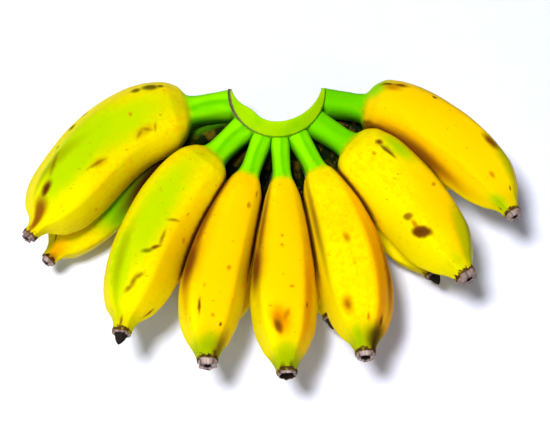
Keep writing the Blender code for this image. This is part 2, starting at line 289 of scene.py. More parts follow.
def smooth_through(stations, values, at):
    """A curve through the stations that never overshoots them (monotone cubic)."""
    x = np.asarray(stations, float)
    y = np.asarray(values, float)
    step = np.diff(x)
    slope = np.diff(y) / step
    tangent = np.zeros_like(y)
    rising = slope[:-1] * slope[1:] > 0
    tangent[1:-1][rising] = 2 * slope[:-1][rising] * slope[1:][rising] / (slope[:-1] + slope[1:])[rising]
    tangent[0] = slope[0]
    tangent[-1] = slope[-1]
    k = np.clip(np.searchsorted(x, at, side="right") - 1, 0, len(x) - 2)
    u = np.clip((at - x[k]) / step[k], 0, 1)
    h = step[k]
    return (
        y[k] * (1 + 2 * u) * (1 - u) ** 2
        + tangent[k] * h * u * (1 - u) ** 2
        + y[k + 1] * u**2 * (3 - 2 * u)
        + tangent[k + 1] * h * u**2 * (u - 1)
    )


def centreline(fruit, points):
    """Points evenly spaced along the fruit's centreline, from the crown to the blossom end."""
    upper = fruit.row == "upper"
    root = toward(fruit.bearing) * (CROWN_RADIUS + GAP)
    root[2] = (UPPER_TOP if upper else LOWER_TOP) - fruit.depth
    tip = np.array([fruit.tip[0], fruit.tip[1], UPPER_TIP if upper else LOWER_TIP])
    reach = np.linalg.norm(tip - root) * fruit.swing
    pitch = math.radians(UPPER_PITCH if upper else LOWER_PITCH)
    lift = math.radians(TIP_LIFT)
    leave = toward(fruit.bearing) * math.cos(pitch) + np.array([0, 0, math.sin(pitch)])
    arrive = toward(fruit.heading) * math.cos(lift) + np.array([0, 0, math.sin(lift)])
    corners = (root, root + leave * reach, tip - arrive * reach, tip)
    t = np.linspace(0, 1, 4 * points)[:, None]
    weights = ((1 - t) ** 3, 3 * t * (1 - t) ** 2, 3 * t**2 * (1 - t), t**3)
    curve = sum(w * c for w, c in zip(weights, corners))
    run = np.concatenate([[0], np.cumsum(np.linalg.norm(np.diff(curve, axis=0), axis=1))])
    even = np.linspace(0, run[-1], points)
    return np.stack([np.interp(even, run, curve[:, i]) for i in range(3)], axis=1), even


def radius_along(fruit, run):
    """The fruit's radius at each distance from the crown."""
    body_length = run[-1] - STALK_LENGTH
    shape = [full * fruit.full + slim * (1 - fruit.full) for full, slim in zip(FULL_SHAPE, SLIM_SHAPE)]
    stations = [STALK_LENGTH * s for s in STALK_STATIONS]
    values = [fruit.stalk * s for s in STALK_SHAPE]
    stations += [STALK_LENGTH + body_length * s for s in BODY_STATIONS]
    values += [fruit.stalk * NECK_SHAPE, *(fruit.girth * s for s in shape)]
    values += [fruit.neck * radius for radius in BOTTLE_NECK]
    return smooth_through(stations, values, run)


SPINE_POINTS = 120


class Spine:
    """A fruit's centreline with its radius, which is also how its neighbours see it."""

    def __init__(self, fruit):
        self.fruit = fruit
        self.points, self.run = centreline(fruit, SPINE_POINTS)
        self.radius = radius_along(fruit, self.run)
        if fruit.row == "lower":
            lowest = (self.points[:, 2] - self.radius).min()
            self.points[:, 2] -= lowest + SINK

    def room(self, where):
        """The distance from each point to this fruit's surface."""
        away = np.linalg.norm(where[:, None, :] - self.points[None], axis=2)
        return (away - self.radius).min(axis=1)

    def share(self, where, slack):
        """How far out each point lies, as a share of this fruit's radius."""
        away = np.linalg.norm(where[:, None, :] - self.points[None], axis=2) + slack
        return (away / self.radius[None]).min(axis=1)

    def at(self, run):
        """Place, direction and radius at some distances from the crown."""
        centre = np.stack([np.interp(run, self.run, self.points[:, i]) for i in range(3)], axis=1)
        along = np.gradient(self.points, self.run, axis=0)
        along = unit(np.stack([np.interp(run, self.run, along[:, i]) for i in range(3)], axis=1))
        return centre, along, np.interp(run, self.run, self.radius)


spines = {fruit.name: Spine(fruit) for fruit in FRUITS}
for name, spine in spines.items():
    print(name, round(spine.run[-1] / MM), "mm long,", round(2 * spine.radius.max() / MM), "mm thick")

# %% [markdown]
# On the plant the young fruits swell against each other, so where two of them meet both are pressed flat.
# Each skin is made as rings round its centreline. Then every point that would lie nearer to a neighbour's
# centreline than to its own, each counted in its own fruit's radius, is pulled back to where both are equal.
# Bisection finds that place without a formula. The ridges are those of a rounded pentagon, averaged over a
# few degrees so that they are soft, and they grow sharper towards the blossom end.

# %% Section and pressing
AROUND = 80
RINGS = 130
RING_CROWDING = 2.2
PRESS_STEPS = 14
RIDGE_SOFTNESS = np.radians((-3, -1.5, 0, 1.5, 3))
RIDGE_GROWTH = (0.45, 2.2)  # how strong the ridges are at the neck and near the end
NEAR_ENOUGH = 0.006
FACET_EDGE = math.radians(5)
FIRST_RIDGE = 10  # the right ridge is the first one that is turned this far, in degrees
FACET_FROM = (0.22, 0.50)  # share of the length where the facets begin to show
STALK_SQUARENESS = 3.0  # 2 is round, and higher is closer to a square with round corners


def ring_places(spine, last):
    """Distances of the rings, closer together where the girth changes fast."""
    change = np.abs(np.gradient(spine.radius, spine.run))
    density = 1 + RING_CROWDING * change
    total = np.concatenate([[0], np.cumsum((density[1:] + density[:-1]) / 2 * np.diff(spine.run))])
    end = np.interp(last, spine.run, total)
    return np.interp(np.linspace(0, end, RINGS), total, spine.run)


def ridge_factor(angle, share):
    """Radius of a soft pentagon at this angle, as a share of a circle's."""
    side = 2 * math.pi / RIDGES
    flat = 0.0
    for turn in RIDGE_SOFTNESS:
        flat = flat + math.cos(side / 2) / np.cos(np.mod(angle + turn, side) - side / 2)
    return 1 + share * (flat / len(RIDGE_SOFTNESS) / PENTAGON_MEAN - 1)


def pressed(spine, others, centre, outward, reach):
    """Pulls points back to where this fruit and its neighbour are pressed flat against each other."""

    def crosses(scale, which):
        """True for the points that lie deeper in a neighbour than in this fruit."""
        where = centre[which] + outward[which] * (reach[which] * scale)[:, None]
        own = spine.share(where, GAP / 2)
        nearest = np.min([other.share(where, -GAP / 2) for other in others], axis=0)
        return own > nearest

    scale = np.ones(len(reach))
    hit = np.flatnonzero(crosses(scale, np.arange(len(reach))))
    low = np.zeros(len(hit))
    high = np.ones(len(hit))
    for _ in range(PRESS_STEPS):
        middle = (low + high) / 2
        over = crosses(middle, hit)
        high = np.where(over, middle, high)
        low = np.where(over, low, middle)
    scale[hit] = low
    return reach * scale


def onto_crown(points, bearing, slack):
    """Slides points along a bearing until they lie this far outside the crown's round wall."""
    way = toward(bearing)
    flat = points[:, :2]
    along = flat @ way[:2]
    aside = np.sum(flat**2, axis=1) - along**2
    wanted = np.sqrt((CROWN_RADIUS + slack) ** 2 - aside)
    return points + way * (wanted - along)[:, None]


# The facets tell the peel where to paint light on the left side and shade on the right.
def facet(fruit, phi):
    """Which facet of the upper side an angle is on: -1 left of the left ridge, 1 right of the right one."""
    right = math.radians(fruit.roll if fruit.roll > FIRST_RIDGE else fruit.roll + 360 / RIDGES)
    left = right - 2 * math.pi / RIDGES
    return ease(right - FACET_EDGE, right + FACET_EDGE, phi) - ease(left + FACET_EDGE, left - FACET_EDGE, phi)


def neighbours(spine):
    """The other fruits that come near enough to press against this one."""
    near = []
    for other in spines.values():
        gap = np.linalg.norm(spine.points[:, None] - other.points[None], axis=2)
        gap = gap - spine.radius[:, None] - other.radius[None]
        if other is not spine and gap.min() < NEAR_ENOUGH:
            near.append(other)
    return near


print("points on each skin:", AROUND * RINGS)

# %% [markdown]
# The blossom end is where the flower sat. The yellow skin stops in a ragged collar, and out of it stands a
# short dry tube, greyish pink outside and nearly black in its hollow. On a few fruits the dried flower is
# still there as a black spur. The end is turned as further rings of the same mesh, so that skin and tube
# are one closed body. Each fruit's tube has its own length, hollow and paleness, read from the photograph.

# %% Blossom ends
End = namedtuple("End", "tube width hollow pale")
PLAIN_END = End(0.0020, 0.80, 0.45, 0.6)
ENDS = {
    "finger_top_1": End(0.0021, 0.72, 0.34, 0.5),
    "finger_top_3": End(0.0027, 0.86, 0.34, 1.0),
    "finger_top_4": End(0.0013, 0.86, 0.74, 0.8),
    "finger_top_5": End(0.0020, 0.86, 0.46, 0.95),
    "finger_top_6": End(0.0028, 0.88, 0.30, 0.6),
    "finger_top_7": End(0.0024, 0.86, 0.30, 0.75),
    "finger_low_1": End(0.0018, 0.70, 0.36, 0.85),
}
COLLAR_LIP = 1.02
TUBE_SEAT = 0.0004  # the part of a tube that lies within the fruit's length, past its end
SPUR_SEAT = 0.0010  # how far before the fruit's end a spur begins
TUBE_FOLDS = (5, 8)  # how many folds the dry tube has round it, in two sets
UNFOLDED = 3  # the folds reach their full depth at this ring
FOLD_DEPTH = 0.045
RAGGED = 0.0005  # how far the collar's edge wanders
SPUR_STEPS = (  # distance past the collar, share of the collar's radius, and how hollow
    (0.0002, COLLAR_LIP, 0.0),
    (0.0004, 0.96, 0.0),
    (0.0005, 0.86, 0.0),
    (0.0009, 0.80, 0.1),
    (0.0011, 0.70, 0.7),
    (0.0020, 0.60, 1.0),
    (0.0034, 0.50, 1.0),
    (0.0046, 0.36, 1.0),
    (0.0056, 0.20, 1.0),
    (0.0062, 0.08, 1.0),
)
SPUR_LENGTH = 0.0064


def collar_run(spine):
    """Distance from the crown to the collar, where the dry end begins."""
    if spine.fruit.end == "spur":
        return spine.run[-1] - SPUR_SEAT
    return spine.run[-1] - (ENDS.get(spine.fruit.name, PLAIN_END).tube - TUBE_SEAT)


def end_profile(fruit):
    """Steps past the collar as (distance, share of the radius, how hollow), and the last distance."""
    if fruit.end == "spur":
        return list(SPUR_STEPS), SPUR_LENGTH
    tube, width, hollow, _ = ENDS.get(fruit.name, PLAIN_END)
    rim = max(hollow + 0.08, width - 0.06)
    collar = [(0.0002, COLLAR_LIP, 0), (0.0004, 0.97, 0), (0.0005, width, 0)]
    wall = [(0.4 * tube, width - 0.03, 0), (0.75 * tube, width - 0.02, 0), (tube, width, 0)]
    mouth = [(tube + 0.0002, rim, 0.05), (tube + 0.0002, (rim + hollow) / 2, 0.15)]
    inside = [(tube, hollow + 0.04, 0.4), (tube - 0.0003, hollow, 0.9)]
    floor = [(tube - 0.0014, hollow * 0.86, 1), (tube - 0.0016, hollow * 0.4, 1)]
    return collar + wall + mouth + inside + floor, tube - 0.0014


def end_rings(fruit, rim, centre, along, angle):
    """Rings of the blossom end, with how hollow each one is."""
    steps, last = end_profile(fruit)
    seed = FRUITS.index(fruit)
    folds = sum(np.cos(angle * n + seed * n) for n in TUBE_FOLDS) / len(TUBE_FOLDS)
    rings = []
    for number, (away, share, hollow) in enumerate(steps):
        fold = 1 + FOLD_DEPTH * folds * min(number / UNFOLDED, 1)
        ring = centre + (rim - centre) * (share * fold)[:, None] + along * away
        rings.append((ring, hollow))
    return rings, centre + along * last


print("rings on a blossom end:", len(end_profile(FRUITS[0])[0]))

# %% [markdown]
# Now the skins are put together. Every point keeps a few numbers for the materials: how far it is from the
# crown and from the collar, and how close the next fruit is. A UV map holds its place on the peel in
# millimetres, along the fruit and round it, so that a scar can be put where it belongs and keep its size.
# The peel of a real fruit is never quite even, so a slow noise moves it by a few tenths of a millimetre.

# %% Fine skins
UNEVEN_DEPTH = 0.00028
UNEVEN_SIZE = 0.014
UNEVEN_RUN = (0.015, 0.030)  # where the peel begins to be uneven, from the crown
RIDGE_RISE = (0.15, 0.85)  # shares of the length between which the ridges grow to full strength
SQUARE_RUN = (0.032, 0.020)  # the section is round past the first place, and square before the second
ROOT_DEPTH = 0.0009  # how far a skin reaches into the crown
# The painted shade between the stalks: dark on the top of a lower stalk, less on the side that LIT_SIDE
# names, and dark green on the flanks of an upper stalk.
PAINTED_SHADE_RUN = (0.040, 0.026)  # where the shade between the stalks ends and begins, from the crown
PAINTED_SHADE_RISE = (-0.35, 0.15)  # heights over the centreline, as shares of the radius
LIT_SIDE = {"finger_low_1": 0.25}  # how much lighter one side of a lower stalk is
LIT_ASIDE = (0.45, 0.05)
FLANK_RUN = (0.030, 0.020)
FLANK_RISE = (0.45, -0.25)
UV_RADIUS = 17.0  # the peel's map counts degrees round a fruit as millimetres at this radius
RING_ON_MAP = 0.4  # mm of the map for each ring past the collar
ANGLES = -math.pi + np.arange(AROUND) * 2 * math.pi / AROUND


def uneven(points, amount):
    """Slow swells and dents, the same on every run."""
    offset = Vector((3.1, 1.7, 5.3))
    return np.array([noise.noise(Vector(p) / UNEVEN_SIZE + offset) for p in points]) * amount


def squared(phi):
    """Radius of a square with round corners at this angle, as a share of a circle's."""
    sides = np.abs(np.cos(phi)) ** STALK_SQUARENESS + np.abs(np.sin(phi)) ** STALK_SQUARENESS
    return sides ** (-1 / STALK_SQUARENESS)


def skin_rings(spine, others):
    """All rings of one fruit, each with its distance from the crown and its hollowness."""
    fruit = spine.fruit
    length = spine.run[-1]
    collar = collar_run(spine)
    run = ring_places(spine, collar)
    centre, along, radius = spine.at(run)
    side, up = sideways_and_up(along)
    rounded = np.clip(run / ROUND_FROM, 0, 1)
    tall = (fruit.depth * (1 - rounded) + radius * rounded) / radius
    growth = RIDGE_GROWTH[0] + (RIDGE_GROWTH[1] - RIDGE_GROWTH[0]) * ease(*RIDGE_RISE, run / length)
    ridged = RIDGE_SHARE * np.clip((run - STALK_LENGTH) / STALK_LENGTH, STALK_RIDGES, 1) * growth
    outward = (
        up[:, None, :] * (np.cos(ANGLES)[None] * tall[:, None])[..., None]
        + side[:, None, :] * np.sin(ANGLES)[None, :, None]
    )
    reach = radius[:, None] * ridge_factor(ANGLES[None] - math.radians(fruit.roll), ridged[:, None])
    reach = reach * (1 + (squared(ANGLES)[None] - 1) * ease(*SQUARE_RUN, run)[:, None])
    middle = np.repeat(centre, AROUND, axis=0)
    flat_out = outward.reshape(-1, 3)
    swell = uneven(middle + flat_out * radius.mean(), UNEVEN_DEPTH)
    flat_reach = reach.reshape(-1) + swell * np.repeat(ease(*UNEVEN_RUN, run), AROUND)
    flat_reach = pressed(spine, others, middle, flat_out, flat_reach)
    points = middle + flat_out * flat_reach[:, None]
    points[:, 2] = np.maximum(points[:, 2], 0.0)
    rings = points.reshape(RINGS, AROUND, 3)
    rings[0] = onto_crown(rings[0], fruit.bearing, -ROOT_DEPTH)
    places = [Vector((math.cos(p) * 3, math.sin(p) * 3, fruit.bearing)) for p in ANGLES]
    wander = np.array([noise.noise(place) for place in places])
    rings[-1] += along[-1] * (wander * RAGGED)[:, None]
    ends, last = end_rings(fruit, rings[-1], centre[-1], along[-1], ANGLES)
    everything = [(ring, at, 0.0) for ring, at in zip(rings, run)]
    everything += [(ring, collar, hollow) for ring, hollow in ends]
    return everything, rings[0].mean(axis=0), last, collar


def painted_stalk_shade(spine, points, run, aside):
    """How much painted shade each point gets between the stalks: on the flanks of an upper one, the top of a
    lower one.
    """
    centre, _, radius = spine.at(run)
    rise = (points[:, 2] - centre[:, 2]) / radius
    if spine.fruit.row == "upper":
        return ease(*FLANK_RUN, run) * ease(*FLANK_RISE, rise)
    lit = LIT_SIDE.get(spine.fruit.name, 0.0) * ease(*LIT_ASIDE, aside)
    return ease(*PAINTED_SHADE_RUN, run) * ease(*PAINTED_SHADE_RISE, rise) * (1 - lit)


def build_skin(spine):
    """The fine skin of one fruit as a mesh object with its attributes and its map."""
    others = neighbours(spine)
    rings, first, last, collar = skin_rings(spine, others)
    count = len(rings)
    first = onto_crown(first[None], spine.fruit.bearing, -ROOT_DEPTH)[0]
    points = np.concatenate([ring for ring, _, _ in rings] + [[first], [last]])
    first_hub, last_hub = count * AROUND, count * AROUND + 1
    faces = []
    corners = []
    for r in range(count - 1):
        for i in range(AROUND):
            j = (i + 1) % AROUND
            faces.append((r * AROUND + i, r * AROUND + j, (r + 1) * AROUND + j, (r + 1) * AROUND + i))
            corners += [(r, i), (r, i + 1), (r + 1, i + 1), (r + 1, i)]
    for r, hub in ((0, first_hub), (count - 1, last_hub)):
        for i in range(AROUND):
            pair = [(r * AROUND + i, i), (r * AROUND + (i + 1) % AROUND, i + 1)]
            pair = pair[::-1] if r == 0 else pair
            faces.append((pair[0][0], pair[1][0], hub))
            corners += [(r, pair[0][1]), (r, pair[1][1]), (r, i + 0.5)]
    obj = add_mesh("skin_of_" + spine.fruit.name, points - ORIGIN, faces)
    data = obj.data
    at = np.array([at for _, at, _ in rings])
    hollow = np.array([h for _, _, h in rings])
    from_crown = np.append(np.repeat(at, AROUND), [0, collar])
    aside = np.append(np.tile(np.sin(ANGLES), count), [0, 0])
    shown = ease(*FACET_FROM, at / spine.run[-1])
    store(data, "from_crown", from_crown / MM)
    store(data, "to_collar", np.append(np.repeat(collar - at, AROUND), [collar, 0]) / MM)
    store(data, "hollow", np.append(np.repeat(hollow, AROUND), [0, hollow[-1]]))
    store(data, "closeness", np.min([other.room(points) for other in others], axis=0) / MM)
    store(data, "painted_stalk_shade", painted_stalk_shade(spine, points, from_crown, aside))
    store(data, "facet", np.append(np.outer(shown, facet(spine.fruit, ANGLES)).ravel(), [0, 0]))
    beyond = np.maximum(np.arange(count) - RINGS + 1, 0) * RING_ON_MAP
    step = 2 * math.pi / AROUND
    uv = np.array([(at[r] / MM + beyond[r], (-math.pi + i * step) * UV_RADIUS) for r, i in corners])
    data.uv_layers.new(name="peel_mm").data.foreach_set("uv", uv.astype(np.float32).ravel())
    dry_from = (RINGS + 1) * AROUND
    dry = [int(face.vertices[0] >= dry_from or face.vertices[2] == last_hub) for face in data.polygons]
    data.polygons.foreach_set("material_index", dry)
    return obj


skins = {name: build_skin(spine) for name, spine in spines.items()}
for skin in skins.values():
    skin.data.calc_loop_triangles()
print("triangles in the skins:", sum(len(skin.data.loop_triangles) for skin in skins.values()))

# %% [markdown]
# Banana peel is waxy and matt, and its colour tells how ripe each place is: green at the stalk, lemon, then
# a deep warm yellow, with brown where it was rubbed or bruised. The colour is painted in layers, from the
# broad to the small. Broad patches of ripeness and small scars are both soft-edged ellipses on the peel's
# own map, each given by its place in millimetres and degrees. A noise bends their outlines, because an exact
# ellipse never looks grown.

# %% Colours of the peel
GOLD = "#f6c000"
LEMON = "#e8d600"
# Painted light on the left side facet.
PAINTED_LIGHT_LEMON = "#e6d800"
GREEN_YELLOW = "#a8c600"
LEAF = "#78c400"
STALK = "#82d800"
STALK_SHADE = "#5cbc00"
AMBER = "#e28a00"
OLIVE = "#8f9a00"
TAN = "#b87400"
SCAR = "#75420a"
SOOT_AND_SHADOW = "#2c1605"
SEAM = "#5a3006"
COLLAR_TONE = "#47250a"
BEAK = "#84a200"
# Painted shade between the stalks: dark green on the flanks of the upper ones, dark olive blots on the lower
# ones.
PAINTED_FLANK_SHADE = "#1f5a0c"
PAINTED_SHADE_DARK = "#0c1a05"
PAINTED_SHADE_OLIVE = "#55470f"
LAYERS = (
    # name, colour, how much it covers, how far its outline wanders in mm
    ("lemon", LEMON, 1.0, 5.0),
    ("gold", GOLD, 1.0, 5.0),
    ("amber", AMBER, 0.85, 3.0),
    ("green", GREEN_YELLOW, 1.0, 4.0),
    ("leaf", LEAF, 1.0, 3.0),
    ("olive", OLIVE, 0.8, 2.0),
    ("tan", TAN, 0.9, 1.6),
    ("scar", SCAR, 1.0, 1.0),
    # This layer holds dark marks, and on some fruits painted shadow.
    ("soot_and_shadow", SOOT_AND_SHADOW, 1.0, 0.8),
)

# The patches and scars of each layer: the distance from the crown in mm and the angle from the top in
# degrees, the half-length and half-width in mm, the turn in degrees, the softness of the edge, and how much
# it covers where that is less than all.
Mark = namedtuple("Mark", "run phi long wide turn soft cover", defaults=(1.0,))
MARKS = {
    "finger_top_1": {
        "green": [(84, -8, 36, 8.5, 0, 0.5), (62, 4, 30, 8, 0, 0.7, 0.9)],
        "olive": [(96, -26, 16, 2.2, -10, 0.7)],
        "lemon": [(110, 25, 16, 14, 0, 0.5)],
        "soot_and_shadow": [(37, -33, 3.6, 2.4, 0, 0.5, 0.85), (43.5, -33, 2.0, 1.7, 0, 0.5, 0.8),
            (32.5, -34, 1.5, 1.3, 0, 0.5, 0.8), (74.4, -52, 2.2, 1.7, 25, 0.6, 0.8),
            (110, -14, 2.6, 0.9, 0, 0.9, 0.7)],
        "scar": [(65.8, -56, 1.6, 0.8, 15, 0.7), (87.4, -44, 1.1, 0.7, 0, 0.75, 0.8),
            (98.0, -24, 5.5, 0.8, 14, 0.9, 0.7), (110, -15, 4.2, 1.8, 0, 0.6),
            (121.0, -8, 7.0, 4.4, 14, 0.5, 0.85), (84.7, 25, 4.8, 0.7, -14, 0.8, 0.7),
            (53, 32, 2.4, 0.7, 20, 0.9, 0.6), (47.5, 31, 2.8, 0.7, -20, 0.9, 0.6),
            (42.5, 33, 1.8, 0.7, 60, 0.9, 0.6)],
        "tan": [(51.8, 2, 0.8, 0.8, 0, 0.95), (122, -8, 6.8, 6.0, 12, 0.6),
            (83, 27, 3.6, 1.6, -14, 0.95, 0.7), (50, 31, 6.0, 1.8, 4, 0.95, 0.6)],
    },
    "finger_top_2": {
        "green": [(66, -9, 34, 8.5, 0, 0.6, 0.9), (96, -26, 22, 6, 0, 0.6, 0.9)],
        "scar": [(122.5, -10, 2.2, 2.4, 0, 0.8, 0.9), (66.8, 24, 2.6, 0.8, -62, 0.85, 0.7),
            (78.5, 21.5, 4.2, 0.7, 4, 0.85, 0.75), (84.5, 18, 2.6, 0.84, -40, 0.75),
            (101.5, 10, 2.6, 1.1, -50, 0.9, 0.8), (104.5, 4, 3.4, 1.2, -16, 0.9, 0.8),
            (108.0, -1, 2.8, 1.2, -50, 0.9, 0.8), (113.5, 84, 2.6, 1.12, 0, 0.75)],
        "olive": [(95.5, -30, 17, 2.0, 0, 0.9)],
        "gold": [(78, 46, 32, 8, 0, 0.8, 0.6)],
        "lemon": [(113, -2, 8, 9, 0, 0.6)],
        "soot_and_shadow": [(88, 8, 2.3, 1.2, -62, 0.7, 0.7)],
        "tan": [(72.1, 58, 1.4, 1.2, 0, 0.95, 0.7)],
    },
    "finger_top_3": {
        # The tan, scar and amber marks at -50 to -58 degrees run down the left edge beside finger_top_2:
        # partly rubbed peel, partly painted shade in the crease.
        "gold": [(72, 10, 46, 12, 0, 0.6)],
        "green": [(116.5, 12, 6, 9, 0, 0.7, 0.7)],
        "lemon": [(105, -45, 16, 9, 0, 0.7)],
        "tan": [(39.3, 33, 1.6, 1.3, 0, 0.85), (31, 50, 1.6, 1.2, 0, 0.95), (76.5, 26, 1.4, 1.12, 0, 0.95),
            (102.4, 11, 0.8, 1.12, 0, 0.95), (64, -50, 26, 7, 0, 0.9, 0.6),
            (88, -12, 1.0, 0.8, 0, 0.9, 0.6)],
        "scar": [(98.3, -18, 3.6, 0.84, 0, 0.75), (106.5, 32, 0.9, 0.9, 0, 0.65),
            (56, -52, 28, 3.4, 0, 0.95, 0.85), (75, -58, 12, 7.0, 0, 0.7), (116, 62, 7, 8, 0, 0.9, 0.75)],
        "amber": [(70, -58, 24, 4, 0, 0.9)],
        "soot_and_shadow": [(119.5, 40, 1.8, 4, 0, 0.9, 0.6)],
        "olive": [(115, 8, 6, 9, 0, 0.9, 0.7)],
    },
    "finger_top_4": {
        # The tan and scar marks at -52 to -60 degrees and the amber at 52 degrees run down the edges beside
        # finger_top_3 and finger_top_5: partly rubbed peel, partly painted shade in the creases.
        "gold": [(66, 6, 50, 12, 0, 0.5)],
        "green": [(116, 4, 6.5, 11, 0, 0.6, 0.7)],
        "lemon": [(104, -50, 20, 8, 0, 0.6)],
        "amber": [(86, 52, 24, 4, 0, 0.8), (100, -7, 7.0, 5.2, 30, 0.6)],
        "tan": [(55.7, -3, 0.9, 0.9, 0, 0.95), (60.8, -3, 0.7, 0.98, 0, 0.95),
            (83.5, 14, 0.8, 1.12, 0, 0.95), (60, -52, 24, 5.5, 0, 0.9, 0.6),
            (102.0, -12, 5.0, 3.0, 10, 0.5), (98.5, 3, 3.8, 1.6, -30, 0.7)],
        "scar": [(50, -52, 26, 3.0, 0, 0.95, 0.85), (70, -60, 12, 6.0, 0, 0.7),
            (103.4, -14, 3.0, 2.0, 20, 0.7), (91.8, 45, 1.3, 0.7, 0, 0.75)],
        "soot_and_shadow": [(121.5, -22, 1.8, 4, 0, 0.9, 0.7), (121.2, 26, 2.2, 3, 0, 0.9, 0.7)],
        "olive": [(117, 2, 6, 10, 0, 0.7, 0.55)],
    },
    "finger_top_5": {
        # The scar at -52 degrees runs down the left edge beside finger_top_4, and the amber, tan and scar at
        # 46 to 78 degrees down the right side beside finger_top_6: partly rubbed peel, partly painted shade
        # on that side and in the creases. The soot by the collar at 53 degrees is partly painted shadow.
        "gold": [(70, 62, 44, 9, 0, 0.4)],
        "amber": [(74, 72, 28, 6, 0, 0.8), (88, 46, 30, 5, 0, 0.7, 0.9)],
        "tan": [(84, 78, 12, 3, 0, 0.95, 0.6), (65, -3, 2.6, 1.4, 0, 0.95),
            (99.7, -27, 4.2, 2.8, -10, 0.85), (106.8, 12, 1.6, 0.9, 0, 0.85),
            (81.4, 59, 1.0, 0.84, 0, 0.95)],
        "green": [(117, -24, 6.5, 5, 0, 0.6)],
        "scar": [(48, -52, 26, 2.6, 0, 0.95, 0.8), (84, 74, 14, 3.4, 0, 0.95, 0.7),
            (100, -28, 1.6, 1.0, -10, 0.95, 0.6), (107.8, 49, 2.4, 1.8, 20, 0.75),
            (118, 55, 5.0, 3.4, 0, 0.95)],
        "soot_and_shadow": [(115.5, 53, 6.5, 13, 0, 0.5, 0.85)],
        "olive": [(116, 0, 8, 12, 0, 0.95, 0.6)],
    },
    "finger_top_6": {
        "gold": [(84, 24, 26, 9, 0, 0.8)],
        "green": [(43, 35, 8, 3.4, 0, 0.8), (106, -4, 7, 5, 0, 0.9, 0.35)],
        "olive": [(98, 43, 16, 7, 0, 0.5), (41, 16, 4.4, 1.5, 2, 0.5)],
        "scar": [(35.1, 18, 1.7, 1.5, 0, 0.65), (41.5, 15, 4.4, 0.7, 2, 0.75),
            (75.4, -31, 2.5, 1.7, 45, 0.5, 0.85), (86.0, -31, 5.4, 3.0, 45, 0.32)],
        "tan": [(38, -3, 1.0, 0.9, 0, 0.85), (81, -30, 2.6, 1.0, 0, 0.85), (68.3, 34, 1.0, 0.9, 0, 0.85)],
        "soot_and_shadow": [(86.0, -31, 3.4, 1.5, 45, 0.9, 0.5)],
    },
    "finger_top_7": {
        # The amber, tan and scar at -54 to -76 degrees run down the lower left edge beside finger_top_6:
        # partly rubbed peel, partly painted shade in the crease.
        "gold": [(66, -10, 50, 15, 0, 0.5)],
        "amber": [(66, -76, 34, 5, 0, 0.9, 0.6)],
        "tan": [(58, -54, 27, 4.6, -12, 0.9, 0.7), (33, 26, 3.6, 1.8, 0, 0.95),
            (100.3, -7, 1.6, 1.3, 0, 0.95)],
        "scar": [(58, -61, 25, 3.4, -12, 0.8, 0.9), (30, 34, 3.0, 1.12, 0, 0.75),
            (36, 35, 3.2, 1.2, 0, 0.75), (52.6, 37, 1.0, 0.7, 0, 0.75), (86.4, 35, 4.6, 1.8, 6, 0.7),
            (109.3, 24, 1.0, 0.9, 0, 0.65)],
        "leaf": [(25, 30, 5, 7, 0, 0.8, 0.9)],
        "lemon": [(34, -20, 18, 16, 0, 0.8, 0.8)],
        "green": [(113, -44, 5, 7, 0, 0.8)],
        "olive": [(98, 38, 12, 3.2, 0, 0.8)],
        "soot_and_shadow": [(114.2, -72, 1.2, 1.0, 0, 0.65)],
    },
    "finger_low_1": {
        "leaf": [(58, 38, 34, 22, 0, 0.3)],
        # The first scar and the soot below are a painted shadow, cast by finger_top_1 on the side towards
        # finger_top_2.
        "scar": [(56, 42, 22, 5.5, 12, 0.8, 0.9), (120, 30, 2.4, 9, 0, 0.9, 0.8),
            (111, -26, 1.7, 1.12, 30, 0.75)],
        "soot_and_shadow": [(48, 35, 26, 5.0, 12, 0.7)],
        "amber": [(116, 10, 5, 14, 0, 0.8)],
    },
    "finger_low_2": {
        "gold": [(80, 0, 40, 14, 0, 0.6)],
        "tan": [(90, 30, 1.4, 0.9, 0, 0.85)],
    },
    "finger_low_3": {
        "gold": [(80, 0, 40, 14, 0, 0.6)],
        "scar": [(98, 40, 1.6, 1.12, 0, 0.85)],
    },
    "finger_low_4": {
        "gold": [(70, 0, 30, 14, 0, 0.6)],
        "tan": [(84, -20, 2.0, 1.2, 0, 0.85)],
    },
    "finger_low_5": {
        "lemon": [(80, -50, 14, 12, 0, 0.6)],
        "scar": [(60, 20, 2.2, 1.12, 30, 0.85)],
    },
    "finger_low_6": {
        "gold": [(60, 0, 30, 14, 0, 0.6)],
        "green": [(40, 30, 14, 8, 0, 0.6)],
    },
}
print("patches and scars:", sum(len(rows) for layers in MARKS.values() for rows in layers.values()))

# %% [markdown]
# The peel's colour is built up in layers, and one short function lays each. The first gives the ripe tone.
# It drifts between lemon and gold in slow clouds, with finer mottling and with long faint streaks along the
# fibres under the skin. The two side facets differ too: the left one is made paler as painted light, and the
# right one amber as painted shade.

# %% Ripe tone of the peel
RIPENESS = (0.55, 0.95)  # values of the noise where the peel is least and most ripe
DRIFT = 0.4  # how far the tone drifts from the fruit's own warmth
STREAK_ALONG = 0.020  # cycles for each mm
STREAK_ACROSS = 0.42
STREAK_SPAN = (0.5, 0.75, 0.0, 0.14)
MOTTLE = 0.34  # cycles for each mm
MOTTLE_SPAN = (0.48, 0.68, 0.0, 0.3)
# Painted light and shade on the side facets: the left one paler, the right one amber by each fruit's share.
LEFT_FACET_LIGHT = 0.75  # how much paler the left side facet is
Tone = namedtuple("Tone", "warmth right_facet beak deep_stalk")
PLAIN_TONE = Tone(0.5, 0.0, 0.2, 0.0)
